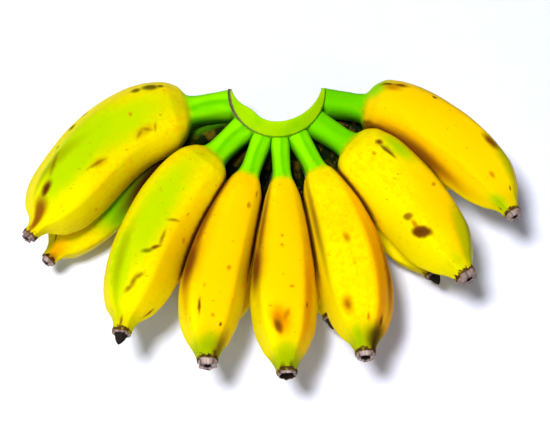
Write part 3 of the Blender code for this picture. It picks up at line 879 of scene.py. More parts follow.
# The second number of each tone is the painted shade, in amber, on the right side facet.
TONES = {  # how golden, how amber on the right, how green the bottle neck, how deep the stalk's green
    "finger_top_1": Tone(0.0, 0.0, 0.2, 0.0),
    "finger_top_2": Tone(0.1, 0.0, 0.4, 0.0),
    "finger_top_3": Tone(0.5, 0.0, 0.8, 0.0),
    "finger_top_4": Tone(0.5, 0.2, 0.8, 0.0),
    "finger_top_5": Tone(0.3, 0.75, 0.7, 0.0),
    "finger_top_6": Tone(0.0, 0.0, 0.2, 0.7),
    "finger_top_7": Tone(0.5, 0.15, 0.4, 0.9),
    "finger_low_1": Tone(0.0, 0.0, 0.2, 0.0),
}


def ripe_tone(tree, own, grain, peel_map):
    """The colour of sound peel with painted light and shade on its side facets, and the streaks for its
    relief.
    """
    clouds = add(tree, "ShaderNodeTexNoise", {"Vector": grain, "Scale": 0.045, "Detail": 3.0})
    patchy = add(tree, "ShaderNodeTexNoise", {"Vector": grain, "Scale": 0.16, "Detail": 4.0})
    both = add(tree, "ShaderNodeMath", {0: patchy, 1: 0.5, 2: clouds}, operation="MULTIPLY_ADD")
    colour = blended(tree, LEMON, GOLD, both, *RIPENESS, own.warmth - DRIFT, own.warmth + DRIFT)
    scale = (STREAK_ALONG, STREAK_ACROSS, 1)
    stretched = add(tree, "ShaderNodeMapping", {"Vector": peel_map, "Scale": scale})
    streaks = add(tree, "ShaderNodeTexNoise", {"Vector": stretched, "Scale": 1.0, "Detail": 4.0})
    mottle = add(tree, "ShaderNodeTexNoise", {
        "Vector": grain, "Scale": MOTTLE, "Detail": 5.0, "Roughness": 0.65,
    })
    colour = blended(tree, colour, AMBER, streaks, *STREAK_SPAN)
    colour = blended(tree, colour, AMBER, mottle, *MOTTLE_SPAN)
    # Painted light on the left side facet and painted shade on the right one.
    side = add(tree, "ShaderNodeAttribute", out="Fac", attribute_name="facet")
    colour = blended(tree, colour, PAINTED_LIGHT_LEMON, side, 0.0, -1.0, 0.0, LEFT_FACET_LIGHT)
    return blended(tree, colour, AMBER, side, 0.0, 1.0, 0.0, own.right_facet), streaks


print("fruits with a tone of their own:", len(TONES))

# %% [markdown]
# Where two fruits press together the peel turns amber and then brown: partly it was rubbed there, and partly
# this is painted shade in the crease between them. The stalk's green ends at the neck, and the bottle neck
# before the blossom end is often green as well. Each border is a range of an attribute in millimetres, and a
# noise added to it keeps the border from being even.

# %% Seams, green stalk and bottle neck
NECK_GREEN = (19.0, 24.5)  # mm from the crown where the stalk's green ends
BEAK_GREEN = (4.0, 12.5)  # mm before the collar where the bottle neck is a little green
# Near the next fruit: amber, then brown, partly rubbed peel and partly painted shade in the crease.
SEAM_AMBER = (0.6, 4.6)  # distance to the next fruit, in mm
SEAM_BROWN = (0.4, 2.4)
SEAM_WANDER = 1.6  # how far each border wanders, in mm
NECK_WANDER = 4.0
BEAK_WANDER = 6.0
STRIPES = 0.07  # broad stripes round a stalk, in cycles for each mm of the map


def frayed(tree, colour, paint, value, edge, wander, near, far, cover):
    """Lays a paint that is full below near and gone past far, with a border that wanders by so many mm."""
    shift = add(tree, "ShaderNodeMath", {0: edge, 1: wander, 2: -wander / 2}, operation="MULTIPLY_ADD")
    moved = add(tree, "ShaderNodeMath", {0: value, 1: shift}, operation="ADD")
    return blended(tree, colour, paint, moved, near, far, cover, 0.0, **SMOOTH)


def grown_zones(tree, own, colour, peel_map, edge):
    """Seams of rubbed peel and painted crease shade, the stalk and the bottle neck over the ripe tone."""
    close = add(tree, "ShaderNodeAttribute", out="Fac", attribute_name="closeness")
    from_crown = add(tree, "ShaderNodeAttribute", out="Fac", attribute_name="from_crown")
    to_collar = add(tree, "ShaderNodeAttribute", out="Fac", attribute_name="to_collar")
    # The seams: partly rubbed peel, partly painted shade in the crease.
    colour = frayed(tree, colour, AMBER, close, edge, SEAM_WANDER, *SEAM_AMBER, 0.4)
    colour = frayed(tree, colour, SEAM, close, edge, SEAM_WANDER, *SEAM_BROWN, 0.9)
    stretched = add(tree, "ShaderNodeMapping", {"Vector": peel_map, "Scale": (0.04, STRIPES, 1)})
    stripes = add(tree, "ShaderNodeTexNoise", {"Vector": stretched, "Scale": 1.0, "Detail": 1.0})
    stalk = blended(tree, STALK_SHADE, STALK, stripes, 0.35, 0.62, 0.0, 1 - own.deep_stalk, **SMOOTH)
    colour = frayed(tree, colour, stalk, from_crown, edge, NECK_WANDER, *NECK_GREEN, 1.0)
    return frayed(tree, colour, BEAK, to_collar, edge, BEAK_WANDER, *BEAK_GREEN, own.beak)


print("border of the stalk's green:", NECK_GREEN, "mm")

# %% [markdown]
# The marks come from the list. Each one is the length of a vector in a small map of its own, which is
# centred, turned and scaled so that 1 lies on the mark's edge. All marks of a layer share one mask, the
# greatest of theirs, so that marks that overlap don't get darker where they meet.

# %% Marks on the peel
BROAD_LAYERS = ("lemon", "gold", "amber", "green")
ROUGH_LAYERS = ("tan", "scar", "soot_and_shadow")


def larger(tree, first, second):
    """The greater of two masks, or the second where there is no first."""
    if first is None:
        return second
    return add(tree, "ShaderNodeMath", {0: first, 1: second}, operation="MAXIMUM")


def marked(tree, fruit, colour, layers, peel_map, centred):
    """Lays the layers of marks over a colour, and gives the mask of those that roughen the peel."""
    scarred = None
    for layer, paint, cover, wandering in layers:
        if layer not in MARKS[fruit.name]:
            continue
        bend = (wandering, wandering, 0)
        shift = add(tree, "ShaderNodeVectorMath", {0: centred, 1: bend}, operation="MULTIPLY")
        bent = add(tree, "ShaderNodeVectorMath", {0: peel_map, 1: shift}, operation="ADD")
        mask = None
        for mark in (Mark(*row) for row in MARKS[fruit.name][layer]):
            spot = add(tree, "ShaderNodeMapping", {
                "Vector": bent,
                "Location": (mark.run, math.radians(mark.phi) * UV_RADIUS, 0),
                "Rotation": (0, 0, math.radians(mark.turn)),
                "Scale": (mark.long, mark.wide, 1),
            }, vector_type="TEXTURE")
            out = add(tree, "ShaderNodeVectorMath", {0: spot}, "Value", operation="LENGTH")
            inside = add(tree, "ShaderNodeMapRange", {
                "Value": out, 1: 1 - mark.soft, 2: 1 + mark.soft, 3: cover * mark.cover, 4: 0.0,
            }, **SMOOTH)
            mask = larger(tree, mask, inside)
        colour = add(tree, "ShaderNodeMix", {0: mask, 6: colour, 7: paint}, 2, **RGBA)
        if layer in ROUGH_LAYERS:
            scarred = larger(tree, scarred, mask)
    return colour, scarred


broad = [layer for layer in LAYERS if layer[0] in BROAD_LAYERS]
small = [layer for layer in LAYERS if layer[0] not in BROAD_LAYERS]
print("broad layers:", len(broad), "small layers:", len(small))

# %% [markdown]
# Banana peel is a living skin under natural wax. The wax gives a weak, broad shine, and it is tinted, as the
# light of this picture is so strong that its own colour shows even there. Roughness is about 0.5 on sound
# peel and 0.8 on scars. The last layers are the brown edge of the dry collar, and the painted shade between
# the stalks: dark green on the flanks of the upper ones, and dark olive blots on the top of the lower ones.

# %% Peel material
COLLAR_BROWN = (0.5, 2.0)  # mm before the collar
TEETH = 0.5  # teeth of the brown collar, in cycles for each mm
TEETH_LENGTH = 8.0
PORES = 1.6  # cycles for each mm
FRECKLES = (0.70, 0.80, 0.0, 0.6)
FLANK_COVER = 0.8
PAINTED_SHADE_BLOTS = (0.50, 0.62)
SOUND_ROUGHNESS, SCAR_ROUGHNESS = 0.5, 0.8


def peel_material(fruit):
    """The peel of one fruit, painted from its ripe tone up to its scars and its shade."""
    made, tree = new_material("waxy_peel_of_" + fruit.name)
    own = TONES.get(fruit.name, PLAIN_TONE)
    grain = millimetres(tree)
    peel_map = add(tree, "ShaderNodeUVMap", uv_map="peel_mm")
    wander = add(tree, "ShaderNodeTexNoise", {"Vector": grain, "Scale": 0.35, "Detail": 3.0}, out="Color")
    centred = add(tree, "ShaderNodeVectorMath", {0: wander, 1: (0.5,) * 3}, operation="SUBTRACT")
    colour, streaks = ripe_tone(tree, own, grain, peel_map)
    colour, _ = marked(tree, fruit, colour, broad, peel_map, centred)
    colour = grown_zones(tree, own, colour, peel_map, wander)
    freckles = add(tree, "ShaderNodeTexNoise", {"Vector": grain, "Scale": 0.42, "Detail": 1.0})
    colour = blended(tree, colour, TAN, freckles, *FRECKLES, **SMOOTH)
    colour, scarred = marked(tree, fruit, colour, small, peel_map, centred)

    to_collar = add(tree, "ShaderNodeAttribute", out="Fac", attribute_name="to_collar")
    teeth = add(tree, "ShaderNodeTexNoise", {"Vector": grain, "Scale": TEETH, "Detail": 2.0})
    colour = frayed(tree, colour, COLLAR_TONE, to_collar, teeth, TEETH_LENGTH, *COLLAR_BROWN, 0.95)
    # Painted shade between the stalks, laid over everything else.
    deep = add(tree, "ShaderNodeAttribute", out="Fac", attribute_name="painted_stalk_shade")
    if fruit.row == "upper":
        flank = add(tree, "ShaderNodeMath", {0: deep, 1: FLANK_COVER}, operation="MULTIPLY")
        colour = add(tree, "ShaderNodeMix", {0: flank, 6: colour, 7: PAINTED_FLANK_SHADE}, 2, **RGBA)
    else:
        blots = add(tree, "ShaderNodeTexNoise", {"Vector": grain, "Scale": 0.16, "Detail": 3.0})
        painted_shade_colour = blended(tree, PAINTED_SHADE_DARK, PAINTED_SHADE_OLIVE, blots, *PAINTED_SHADE_BLOTS)
        colour = add(tree, "ShaderNodeMix", {0: deep, 6: colour, 7: painted_shade_colour}, 2, **RGBA)

    pores = add(tree, "ShaderNodeTexNoise", {"Vector": grain, "Scale": PORES, "Detail": 2.0})
    height = add(tree, "ShaderNodeMath", {0: streaks, 1: 0.8, 2: pores}, operation="MULTIPLY_ADD")
    roughness = SOUND_ROUGHNESS
    if scarred is not None:
        height = add(tree, "ShaderNodeMath", {0: scarred, 1: -0.8, 2: height}, operation="MULTIPLY_ADD")
        roughness = add(tree, "ShaderNodeMapRange", {
            "Value": scarred, 3: SOUND_ROUGHNESS, 4: SCAR_ROUGHNESS,
        })
    bump = add(tree, "ShaderNodeBump", {"Height": height, "Strength": 0.25, "Distance": 0.0002})
    peel = add(tree, "ShaderNodeBsdfPrincipled", {
        "Base Color": colour, "Roughness": roughness, "Normal": bump, "IOR": 1.45,
        "Specular IOR Level": 0.025, "Specular Tint": "#f4f000",
        "Subsurface Weight": 0.2, "Subsurface Radius": (1.0, 0.7, 0.1), "Subsurface Scale": 0.003,
    })
    add(tree, "ShaderNodeOutputMaterial", {"Surface": peel})
    return made


peels = {fruit.name: peel_material(fruit) for fruit in FRUITS}
print("nodes in one peel:", len(peels["finger_top_1"].node_tree.nodes))

# %% [markdown]
# The dry tube was living tissue that withered: a fibrous, papery skin in greyish pink, with brown folds and
# a hollow that is nearly black. It has no shine. Its colour comes from the hollow attribute and from a noise
# stretched along the tube, and how pale it is differs from fruit to fruit.

# %% Dry blossom end material
FIBRE_ALONG = 0.15  # cycles for each mm of the peel's map
FIBRE_ACROSS = 0.16


def dry_material(name, pale, spur):
    """The withered tube, from greyish pink skin to its dark hollow."""
    made, tree = new_material(name)
    peel_map = add(tree, "ShaderNodeUVMap", uv_map="peel_mm")
    scale = (FIBRE_ALONG, FIBRE_ACROSS, 1)
    stretched = add(tree, "ShaderNodeMapping", {"Vector": peel_map, "Scale": scale})
    fibre = add(tree, "ShaderNodeTexNoise", {
        "Vector": stretched, "Scale": 1.0, "Detail": 5.0, "Roughness": 0.6,
    })
    light = add(tree, "ShaderNodeMix", {0: pale, 6: "#4f3a30", 7: "#bda79b"}, 2, **RGBA)
    skin = blended(tree, "#4a3028", light, fibre, 0.32, 0.60)
    hollow = add(tree, "ShaderNodeAttribute", out="Fac", attribute_name="hollow")
    colour = blended(tree, skin, "#1d1712" if spur else "#1c0d09", hollow, 0.15, 0.75, **SMOOTH)
    bump = add(tree, "ShaderNodeBump", {"Height": fibre, "Strength": 0.4, "Distance": 0.0003})
    paper = add(tree, "ShaderNodeBsdfPrincipled", {
        "Base Color": colour, "Roughness": 0.85, "Normal": bump, "Specular IOR Level": 0.15,
    })
    add(tree, "ShaderNodeOutputMaterial", {"Surface": paper})
    return made


for fruit in FRUITS:
    end = ENDS.get(fruit.name, PLAIN_END)
    dry = dry_material("dry_end_of_" + fruit.name, end.pale, fruit.end == "spur")
    skins[fruit.name].data.materials.append(peels[fruit.name])
    skins[fruit.name].data.materials.append(dry)
print("dry ends:", len(FRUITS))

# %% [markdown]
# Whatever follows a rule is made with Geometry Nodes: the crown, and the small dry things that grow on it and
# round the fruits' ends. A tree is a recipe with named inputs for its sizes. The values are set by each
# socket's identifier, because two sockets may share a name. The result is then copied into a plain mesh, so
# that nothing depends on the tree any more.

# %% From a tree to a plain mesh
def start_tree(name, first, sizes):
    """A geometry tree with one geometry input and a named input for each size."""
    tree = bpy.data.node_groups.new(name, "GeometryNodeTree")
    tree.interface.new_socket(first, in_out="INPUT", socket_type="NodeSocketGeometry")
    for label, kind in sizes.items():
        tree.interface.new_socket(label, in_out="INPUT", socket_type="NodeSocket" + kind)
    tree.interface.new_socket("Mesh", in_out="OUTPUT", socket_type="NodeSocketGeometry")
    return tree, tree.nodes.new("NodeGroupInput").outputs


def end_tree(tree, geometry, finish):
    """Makes every instance real, gives it its material and sends it out."""
    real = add(tree, "GeometryNodeRealizeInstances", {0: geometry})
    dressed = add(tree, "GeometryNodeSetMaterial", {"Geometry": real, "Material": finish})
    add(tree, "NodeGroupOutput", {0: dressed})


def grow(name, data, tree, values):
    """Runs the tree on a mesh and keeps its result as a plain mesh object."""
    holder = bpy.data.objects.new("holder", data)
    scene.collection.objects.link(holder)
    modifier = holder.modifiers.new("grow", "NODES")
    modifier.node_group = tree
    for socket in tree.interface.items_tree:
        if socket.in_out == "INPUT" and socket.name in values:
            modifier[socket.identifier] = values[socket.name]
    graph = bpy.context.evaluated_depsgraph_get()
    mesh = bpy.data.meshes.new_from_object(holder.evaluated_get(graph), depsgraph=graph)
    bpy.data.objects.remove(holder)
    piece = bpy.data.objects.new(name, mesh)
    scene.collection.objects.link(piece)
    return piece


print("meshes before the first tree is run:", len(bpy.data.meshes))

# %% [markdown]
# The crown is the green cushion that joined the hand to its bunch stem. Its outer wall carries the stalks,
# and its top edge rises to the inside, where it was cut from the stem. The section is a ring of corners,
# rounded by cutting every corner three times. The cushion gets thinner and lower towards both ends, so each
# corner holds shares: how much of the wall it lies inwards, and how much of the lip it is raised.

# %% Section of the crown
CROWN_EDGE = 0.0012
SCAR_RISE = 0.0006
CUT_BULGE = 0.0008
LIP_PROFILE = ((0.34, 0.45), (0.62, 0.80))
CORNER_CUTS = 3
Corner = namedtuple("Corner", "out_by wall_share bulge_share height lip_share cut")


def crown_section():
    """The corners of the section, with their shares, after the cutting."""
    lip_floor = CROWN_SHOULDER + CROWN_EDGE
    edge = CROWN_EDGE / 2
    corners = np.array([
        Corner(0, 0, 0, CROWN_FLOOR + CROWN_EDGE, 0, 0),
        Corner(0, 0, 0, CROWN_SHOULDER, 0, 0),
        Corner(SCAR_RISE, 0, 0, CROWN_SHOULDER + edge, 0, 0),
        Corner(0, 0, 0, lip_floor, 0, 0),
        *(Corner(0, across, 0, lip_floor, rise, 0) for across, rise in LIP_PROFILE),
        Corner(edge, 1, 0, lip_floor, 1, 0.2),
        Corner(0, 1, 0, lip_floor - edge, 1, 1),
        Corner(0, 1, 1, (CROWN_FLOOR + lip_floor) / 2, 0.5, 1),
        Corner(0, 1, 0, CROWN_FLOOR + CROWN_EDGE, 0, 1),
        Corner(edge, 1, 0, CROWN_FLOOR, 0, 0.2),
        Corner(-edge, 0, 0, CROWN_FLOOR, 0, 0),
    ])
    for _ in range(CORNER_CUTS):
        following = np.roll(corners, -1, axis=0)
        corners = np.stack([0.75 * corners + 0.25 * following, 0.25 * corners + 0.75 * following], 1)
        corners = corners.reshape(-1, len(Corner._fields))
    return corners


def section_mesh():
    """The section as a ring of edges, with the shares as attributes."""
    corners = crown_section()
    data = bpy.data.meshes.new("crown_section")
    across = corners[:, 0] - corners[:, 1] * CROWN_WALL
    count = len(corners)
    ring = [(i, (i + 1) % count) for i in range(count)]
    data.from_pydata([(x, z, 0.0) for x, z in zip(across, corners[:, 3])], ring, [])
    for key, values in zip(Corner._fields, corners.T):
        store(data, key, values)
    return data


print("corners after cutting:", len(crown_section()))

# %% [markdown]
# A geometry tree places points by sums, and each sum is a Math node. The crown needs about thirty of them, so
# they are written as two tables and one short function lays the nodes. The first table is worked out on
# each step of the way round the stem: its bearing, and how bulky the cushion is there. The steps are closer
# together at both ends, where the cushion thins out. The second gives the place of every point of the skin.

# %% Sums for the crown's tree
CROWN_STEPS = 150
THINNING = 2.5  # how late the cushion thins out towards its ends
CROWN_SIZES = dict.fromkeys((
    "First", "Last", "Radius", "Wall", "End Wall", "Extra", "Extra At", "Extra Spread", "Lip", "Bulge",
), "Float")
CROWN_SIZES = {"Steps": "Int", **CROWN_SIZES, "Finish": "Material"}
# Each line names a sum, its operation, and its parts: numbers, sizes or earlier sums.
ALONG_THE_WAY = (
    ("turned", "DIVIDE", "index", "Steps"),
    ("half turn", "MULTIPLY", "turned", math.pi),
    ("cosine", "COSINE", "half turn"),
    ("swing", "MULTIPLY", "cosine", -1.0),
    ("both", "ADD", "First", "Last"),
    ("middle", "MULTIPLY", "both", 0.5),
    ("spread", "SUBTRACT", "Last", "First"),
    ("reach", "MULTIPLY", "spread", 0.5),
    ("bearing", "MULTIPLY_ADD", "swing", "reach", "middle"),
    ("side", "ABSOLUTE", "swing"),
    ("thinning", "POWER", "side", THINNING),
    ("left over", "SUBTRACT", 1.0, "thinning"),
    ("bulk", "MAXIMUM", "left over", 0.0),
)
ON_THE_SECTION = (
    ("off", "SUBTRACT", "bearing", "Extra At"),
    ("off share", "DIVIDE", "off", "Extra Spread"),
    ("squared", "MULTIPLY", "off share", "off share"),
    ("negative", "MULTIPLY", "squared", -1.0),
    ("bell", "EXPONENT", "negative"),
    ("plain gain", "SUBTRACT", "Wall", "End Wall"),
    ("gain", "MULTIPLY_ADD", "Extra", "bell", "plain gain"),
    ("wall", "MULTIPLY_ADD", "gain", "bulk", "End Wall"),
    ("full bulge", "MULTIPLY", "Bulge", "bulk"),
    ("bulge", "MULTIPLY", "full bulge", "bulge_share"),
    ("inwards", "MULTIPLY_ADD", "wall", "wall_share", "bulge"),
    ("outwards", "ADD", "Radius", "out_by"),
    ("away", "SUBTRACT", "outwards", "inwards"),
    ("full lip", "MULTIPLY", "Lip", "bulk"),
    ("z", "MULTIPLY_ADD", "full lip", "lip_share", "height"),
    ("angle", "RADIANS", "bearing"),
    ("sine", "SINE", "angle"),
    ("x", "MULTIPLY_ADD", "away", "sine", -ORIGIN[0]),
    ("toward back", "COSINE", "angle"),
    ("toward front", "MULTIPLY", "toward back", -1.0),
    ("y", "MULTIPLY_ADD", "away", "toward front", -ORIGIN[1]),
)


def work_out(tree, known, sums):
    """Adds one Math node for each line of a table of sums."""
    for name, operation, *parts in sums:
        inputs = {place: known.get(part, part) for place, part in enumerate(parts)}
        known[name] = add(tree, "ShaderNodeMath", inputs, operation=operation)


print("sums:", len(ALONG_THE_WAY) + len(ON_THE_SECTION))

# %% [markdown]
# The tree stands a row of steps, stores what the first table gives on each, and sweeps the section along
# them. Sweeping copies the section's shares to every point of the skin, so the second table can then set
# each point's place. The ends are closed with caps.

# %% A tree that sweeps the crown round its stem
crown_tree, sizes = start_tree("crown_round_its_stem", "Section", CROWN_SIZES)
known = {label: sizes[label] for label in CROWN_SIZES}
known["index"] = add(crown_tree, "GeometryNodeInputIndex")
work_out(crown_tree, known, ALONG_THE_WAY)
count = add(crown_tree, "ShaderNodeMath", {0: sizes["Steps"], 1: 1.0}, operation="ADD")
steps = add(crown_tree, "GeometryNodeMeshLine", {"Count": count})
way = add(crown_tree, "GeometryNodeMeshToCurve", {"Mesh": steps})
for label in ("bearing", "bulk"):
    way = add(crown_tree, "GeometryNodeStoreNamedAttribute", {
        "Geometry": way, "Name": label, "Value": known[label],
    }, data_type="FLOAT", domain="POINT")
ring = add(crown_tree, "GeometryNodeMeshToCurve", {"Mesh": sizes["Section"]})
swept = add(crown_tree, "GeometryNodeCurveToMesh", {"Curve": way, "Profile Curve": ring, "Fill Caps": True})
for label in ("bearing", "bulk", *Corner._fields):
    known[label] = add(crown_tree, "GeometryNodeInputNamedAttribute", {"Name": label}, data_type="FLOAT")
work_out(crown_tree, known, ON_THE_SECTION)
place = add(crown_tree, "ShaderNodeCombineXYZ", {0: known["x"], 1: known["y"], 2: known["z"]})
placed = add(crown_tree, "GeometryNodeSetPosition", {"Geometry": swept, "Position": place})
end_tree(crown_tree, add(crown_tree, "GeometryNodeSetShadeSmooth", {"Geometry": placed}), sizes["Finish"])
print("nodes in the crown's tree:", len(crown_tree.nodes))

# %% [markdown]
# Crown skin is the same living green as the stalks, drifting in slow clouds between two greens. Along its
# outer edge runs the scar of the bract, the big leaf that once covered the flowers: a thin corky line,
# dark and thick at one end and hardly more than olive at the other. The inner face is the cut, pale and
# moist at first and soon stained brown.

# %% Crown material
CORK_THICKNESS = (-75.0, -15.0, 2.4, 0.8)  # from one bearing to the other, in mm from the scar's middle
CORK_FADING = (-65.0, 0.0)  # bearings between which its colour turns from dark to olive
CUT_EDGE = (0.3, 0.8)  # values of the attribute where the green skin gives way to the cut

crown_skin, tree = new_material("living_crown_skin")
grain = millimetres(tree)
clouds = add(tree, "ShaderNodeTexNoise", {"Vector": grain, "Scale": 0.09, "Detail": 3.0})
fine = add(tree, "ShaderNodeTexNoise", {"Vector": grain, "Scale": 0.9, "Detail": 4.0})
colour = blended(tree, "#84c000", "#9ac800", clouds, 0.35, 0.65)
scar, bearing, cut = (
    add(tree, "ShaderNodeAttribute", out="Fac", attribute_name=key) for key in ("from_scar", "bearing", "cut")
)
first, last, *shares = CORK_THICKNESS
thick = add(tree, "ShaderNodeMapRange", {"Value": bearing, 1: first, 2: last, 3: shares[0], 4: shares[1]})
ragged = add(tree, "ShaderNodeMath", {0: fine, 1: 1.2, 2: -0.6}, operation="MULTIPLY_ADD")
reach = add(tree, "ShaderNodeMath", {0: scar, 1: ragged}, operation="ADD")
ratio = add(tree, "ShaderNodeMath", {0: reach, 1: thick}, operation="DIVIDE")
cork = blended(tree, "#574b38", "#6d9408", bearing, *CORK_FADING)
colour = blended(tree, colour, cork, ratio, 0.5, 1.1, 1.0, 0.0, **SMOOTH)
flesh = add(tree, "ShaderNodeMix", {0: fine, 6: "#8f7a3a", 7: "#cfc98a"}, 2, **RGBA)
colour = blended(tree, colour, flesh, cut, *CUT_EDGE, **SMOOTH)
bump = add(tree, "ShaderNodeBump", {"Height": fine, "Strength": 0.4, "Distance": 0.0004})
skin = add(tree, "ShaderNodeBsdfPrincipled", {
    "Base Color": colour, "Roughness": 0.5, "Normal": bump, "IOR": 1.45,
    "Specular IOR Level": 0.05, "Specular Tint": "#e0f400",
})
add(tree, "ShaderNodeOutputMaterial", {"Surface": skin})
print("crown nodes:", len(tree.nodes))

# %% [markdown]
# The tree is run once with the crown's real sizes. Each point then gets its distance from the bract's scar,
# which the material reads, and the faces of the closed shell are turned to point outwards.

# %% The crown
crown = grow("skin_of_crown", section_mesh(), crown_tree, {
    "Steps": CROWN_STEPS, "First": CROWN_BEARINGS[0], "Last": CROWN_BEARINGS[1], "Radius": CROWN_RADIUS,
    "Wall": CROWN_WALL, "End Wall": CROWN_END_WALL, "Extra": CUT_EXTRA, "Extra At": CUT_EXTRA_AT,
    "Extra Spread": CUT_EXTRA_SPREAD, "Lip": CROWN_LIP, "Bulge": CUT_BULGE, "Finish": crown_skin,
})
places = np.array([tuple(v.co) for v in crown.data.vertices]) + ORIGIN
past_wall = np.hypot(places[:, 0], places[:, 1]) - CROWN_RADIUS - SCAR_RISE
store(crown.data, "from_scar", np.hypot(past_wall, places[:, 2] - CROWN_SHOULDER - CROWN_EDGE / 2) / MM)
mesh = bmesh.new()
mesh.from_mesh(crown.data)
bmesh.ops.recalc_face_normals(mesh, faces=mesh.faces[:])
mesh.to_mesh(crown.data)
mesh.free()
print("crown faces:", len(crown.data.polygons))

# %% [markdown]
# Small dry things grow along lines here: torn skin round every blossom end, fibres of the bract's scar, and
# dark scraps of old bract on the lower stalks, which also serve as painted shade in the gaps between the
# upper stalks. Modelling hundreds of them by hand would be slow, so one Geometry Nodes tree grows them along
# any path. It cuts the path into even steps, sets a flattened cone on each, turns it along the directions
# that the path carries, and tilts and sizes it at random.

# %% A tree for dry scraps along a path
SCRAP_SIZES = dict.fromkeys(("Spacing", "Length", "Width", "Thickness", "Smallest", "Wander"), "Float")
SCRAP_SIZES = {**SCRAP_SIZES, "Seed": "Int", "Finish": "Material"}
CONE_SIDES = 6

scrap_tree, sizes = start_tree("dry_scraps_along_a_path", "Path", SCRAP_SIZES)
curve = add(scrap_tree, "GeometryNodeMeshToCurve", {"Mesh": sizes["Path"]})
steps = add(scrap_tree, "GeometryNodeResampleCurve", {
    "Curve": curve, "Length": sizes["Spacing"],
}, mode="LENGTH")
half_width = add(scrap_tree, "ShaderNodeMath", {0: sizes["Width"], 1: 0.5}, operation="MULTIPLY")
cone = add(scrap_tree, "GeometryNodeMeshCone", {
    "Vertices": CONE_SIDES, "Side Segments": 2, "Radius Top": 0.0, "Radius Bottom": half_width,
    "Depth": sizes["Length"],
})
thin = add(scrap_tree, "ShaderNodeMath", {0: sizes["Thickness"], 1: sizes["Width"]}, operation="DIVIDE")
flat = add(scrap_tree, "ShaderNodeCombineXYZ", {0: 1.0, 1: thin, 2: 1.0})
scrap = add(scrap_tree, "GeometryNodeTransform", {"Geometry": cone, "Scale": flat})
way = add(scrap_tree, "GeometryNodeInputNamedAttribute", {"Name": "way"}, data_type="FLOAT_VECTOR")
out = add(scrap_tree, "GeometryNodeInputNamedAttribute", {"Name": "out"}, data_type="FLOAT_VECTOR")
size = add(scrap_tree, "GeometryNodeInputNamedAttribute", {"Name": "size"}, data_type="FLOAT")
turn = add(scrap_tree, "FunctionNodeAlignRotationToVector", {"Vector": way}, axis="Z")
turn = add(scrap_tree, "FunctionNodeAlignRotationToVector", {
    "Rotation": turn, "Vector": out,
}, axis="Y", pivot_axis="Z")
chance = add(scrap_tree, "FunctionNodeRandomValue", {
    0: (-1.0,) * 3, 1: (1.0,) * 3, "Seed": sizes["Seed"],
}, data_type="FLOAT_VECTOR")
tilt = add(scrap_tree, "ShaderNodeVectorMath", {0: chance, "Scale": sizes["Wander"]}, operation="SCALE")
tilt = add(scrap_tree, "FunctionNodeEulerToRotation", {0: tilt})
turn = add(scrap_tree, "FunctionNodeRotateRotation", {0: turn, 1: tilt}, rotation_space="LOCAL")
share = add(scrap_tree, "FunctionNodeRandomValue", {
    2: sizes["Smallest"], 3: 1.0, "Seed": sizes["Seed"],
}, 1, data_type="FLOAT")
share = add(scrap_tree, "ShaderNodeMath", {0: share, 1: size}, operation="MULTIPLY")
many = add(scrap_tree, "GeometryNodeInstanceOnPoints", {
    "Points": steps, "Instance": scrap, "Rotation": turn, "Scale": share,
})
end_tree(scrap_tree, many, sizes["Finish"])
print("nodes in the scrap tree:", len(scrap_tree.nodes))

# %% [markdown]
# A path is a row of points that carries three things at each: which way a scrap points there, which way is
# out, and how big it is. Several paths can share one mesh, and the tree then fills them all at once.

# %% Paths
Path = namedtuple("Path", "points way out size closed")


def path_mesh(paths):
    """All paths as the edges of one mesh, with their directions as attributes."""
    data = bpy.data.meshes.new("paths")
    edges = []
    start = 0
    for path in paths:
        count = len(path.points)
        edges += [(start + i, start + i + 1) for i in range(count - 1)]
        edges += [(start + count - 1, start)] if path.closed else []
        start += count
    points = np.concatenate([path.points for path in paths]) - ORIGIN
    data.from_pydata([tuple(p) for p in points], edges, [])
    for key in ("way", "out", "size"):
        store(data, key, np.concatenate([getattr(path, key) for path in paths]))
    return data


print("a path holds:", Path._fields)

# %% [markdown]
# All these scraps are dead plant skin: papery, brown and without shine. A noise in the piece's own
# millimetres runs from nearly black to a dusty tan, so that neighbouring scraps differ.

# %% Dry bract finish
def scrap_material(name, dark, pale, pattern):
    """A dry, papery finish that runs from dark to pale in blots of a given size."""
    made, tree = new_material(name)
    blots = add(tree, "ShaderNodeTexNoise", {"Vector": millimetres(tree), "Scale": pattern, "Detail": 3.0})
    colour = blended(tree, dark, pale, blots, 0.38, 0.62)
    paper = add(tree, "ShaderNodeBsdfPrincipled", {
        "Base Color": colour, "Roughness": 0.9, "Specular IOR Level": 0.1,
    })
    add(tree, "ShaderNodeOutputMaterial", {"Surface": paper})
    return made


torn_skin = scrap_material("torn_dry_collar_skin", "#2a1508", "#6a4a30", 0.5)
# Nearly black and olive, as the painted shade between the upper stalks.
bract_scraps_and_shade = scrap_material("dark_bract_scraps_and_painted_shade", "#17140a", "#5e5018", 0.25)
bract_fibre = scrap_material("corky_bract_scar", "#4c4030", "#7d7556", 0.6)
bundle_ends = scrap_material("browned_fibre_bundles", "#4a3216", "#8a6a34", 0.4)
print("dry finishes:", [made.name for made in (torn_skin, bract_scraps_and_shade, bract_fibre, bundle_ends)])

# %% [markdown]
# Torn skin stands round every collar and points back over the peel. Its path is a ring at the collar. The
# scraps on the lower stalks follow the top line of each stalk, where they darken the gaps between the upper
# stalks as painted shade, and the bract's fibres follow its scar along the crown, bigger at the end where the
# bract was last attached.

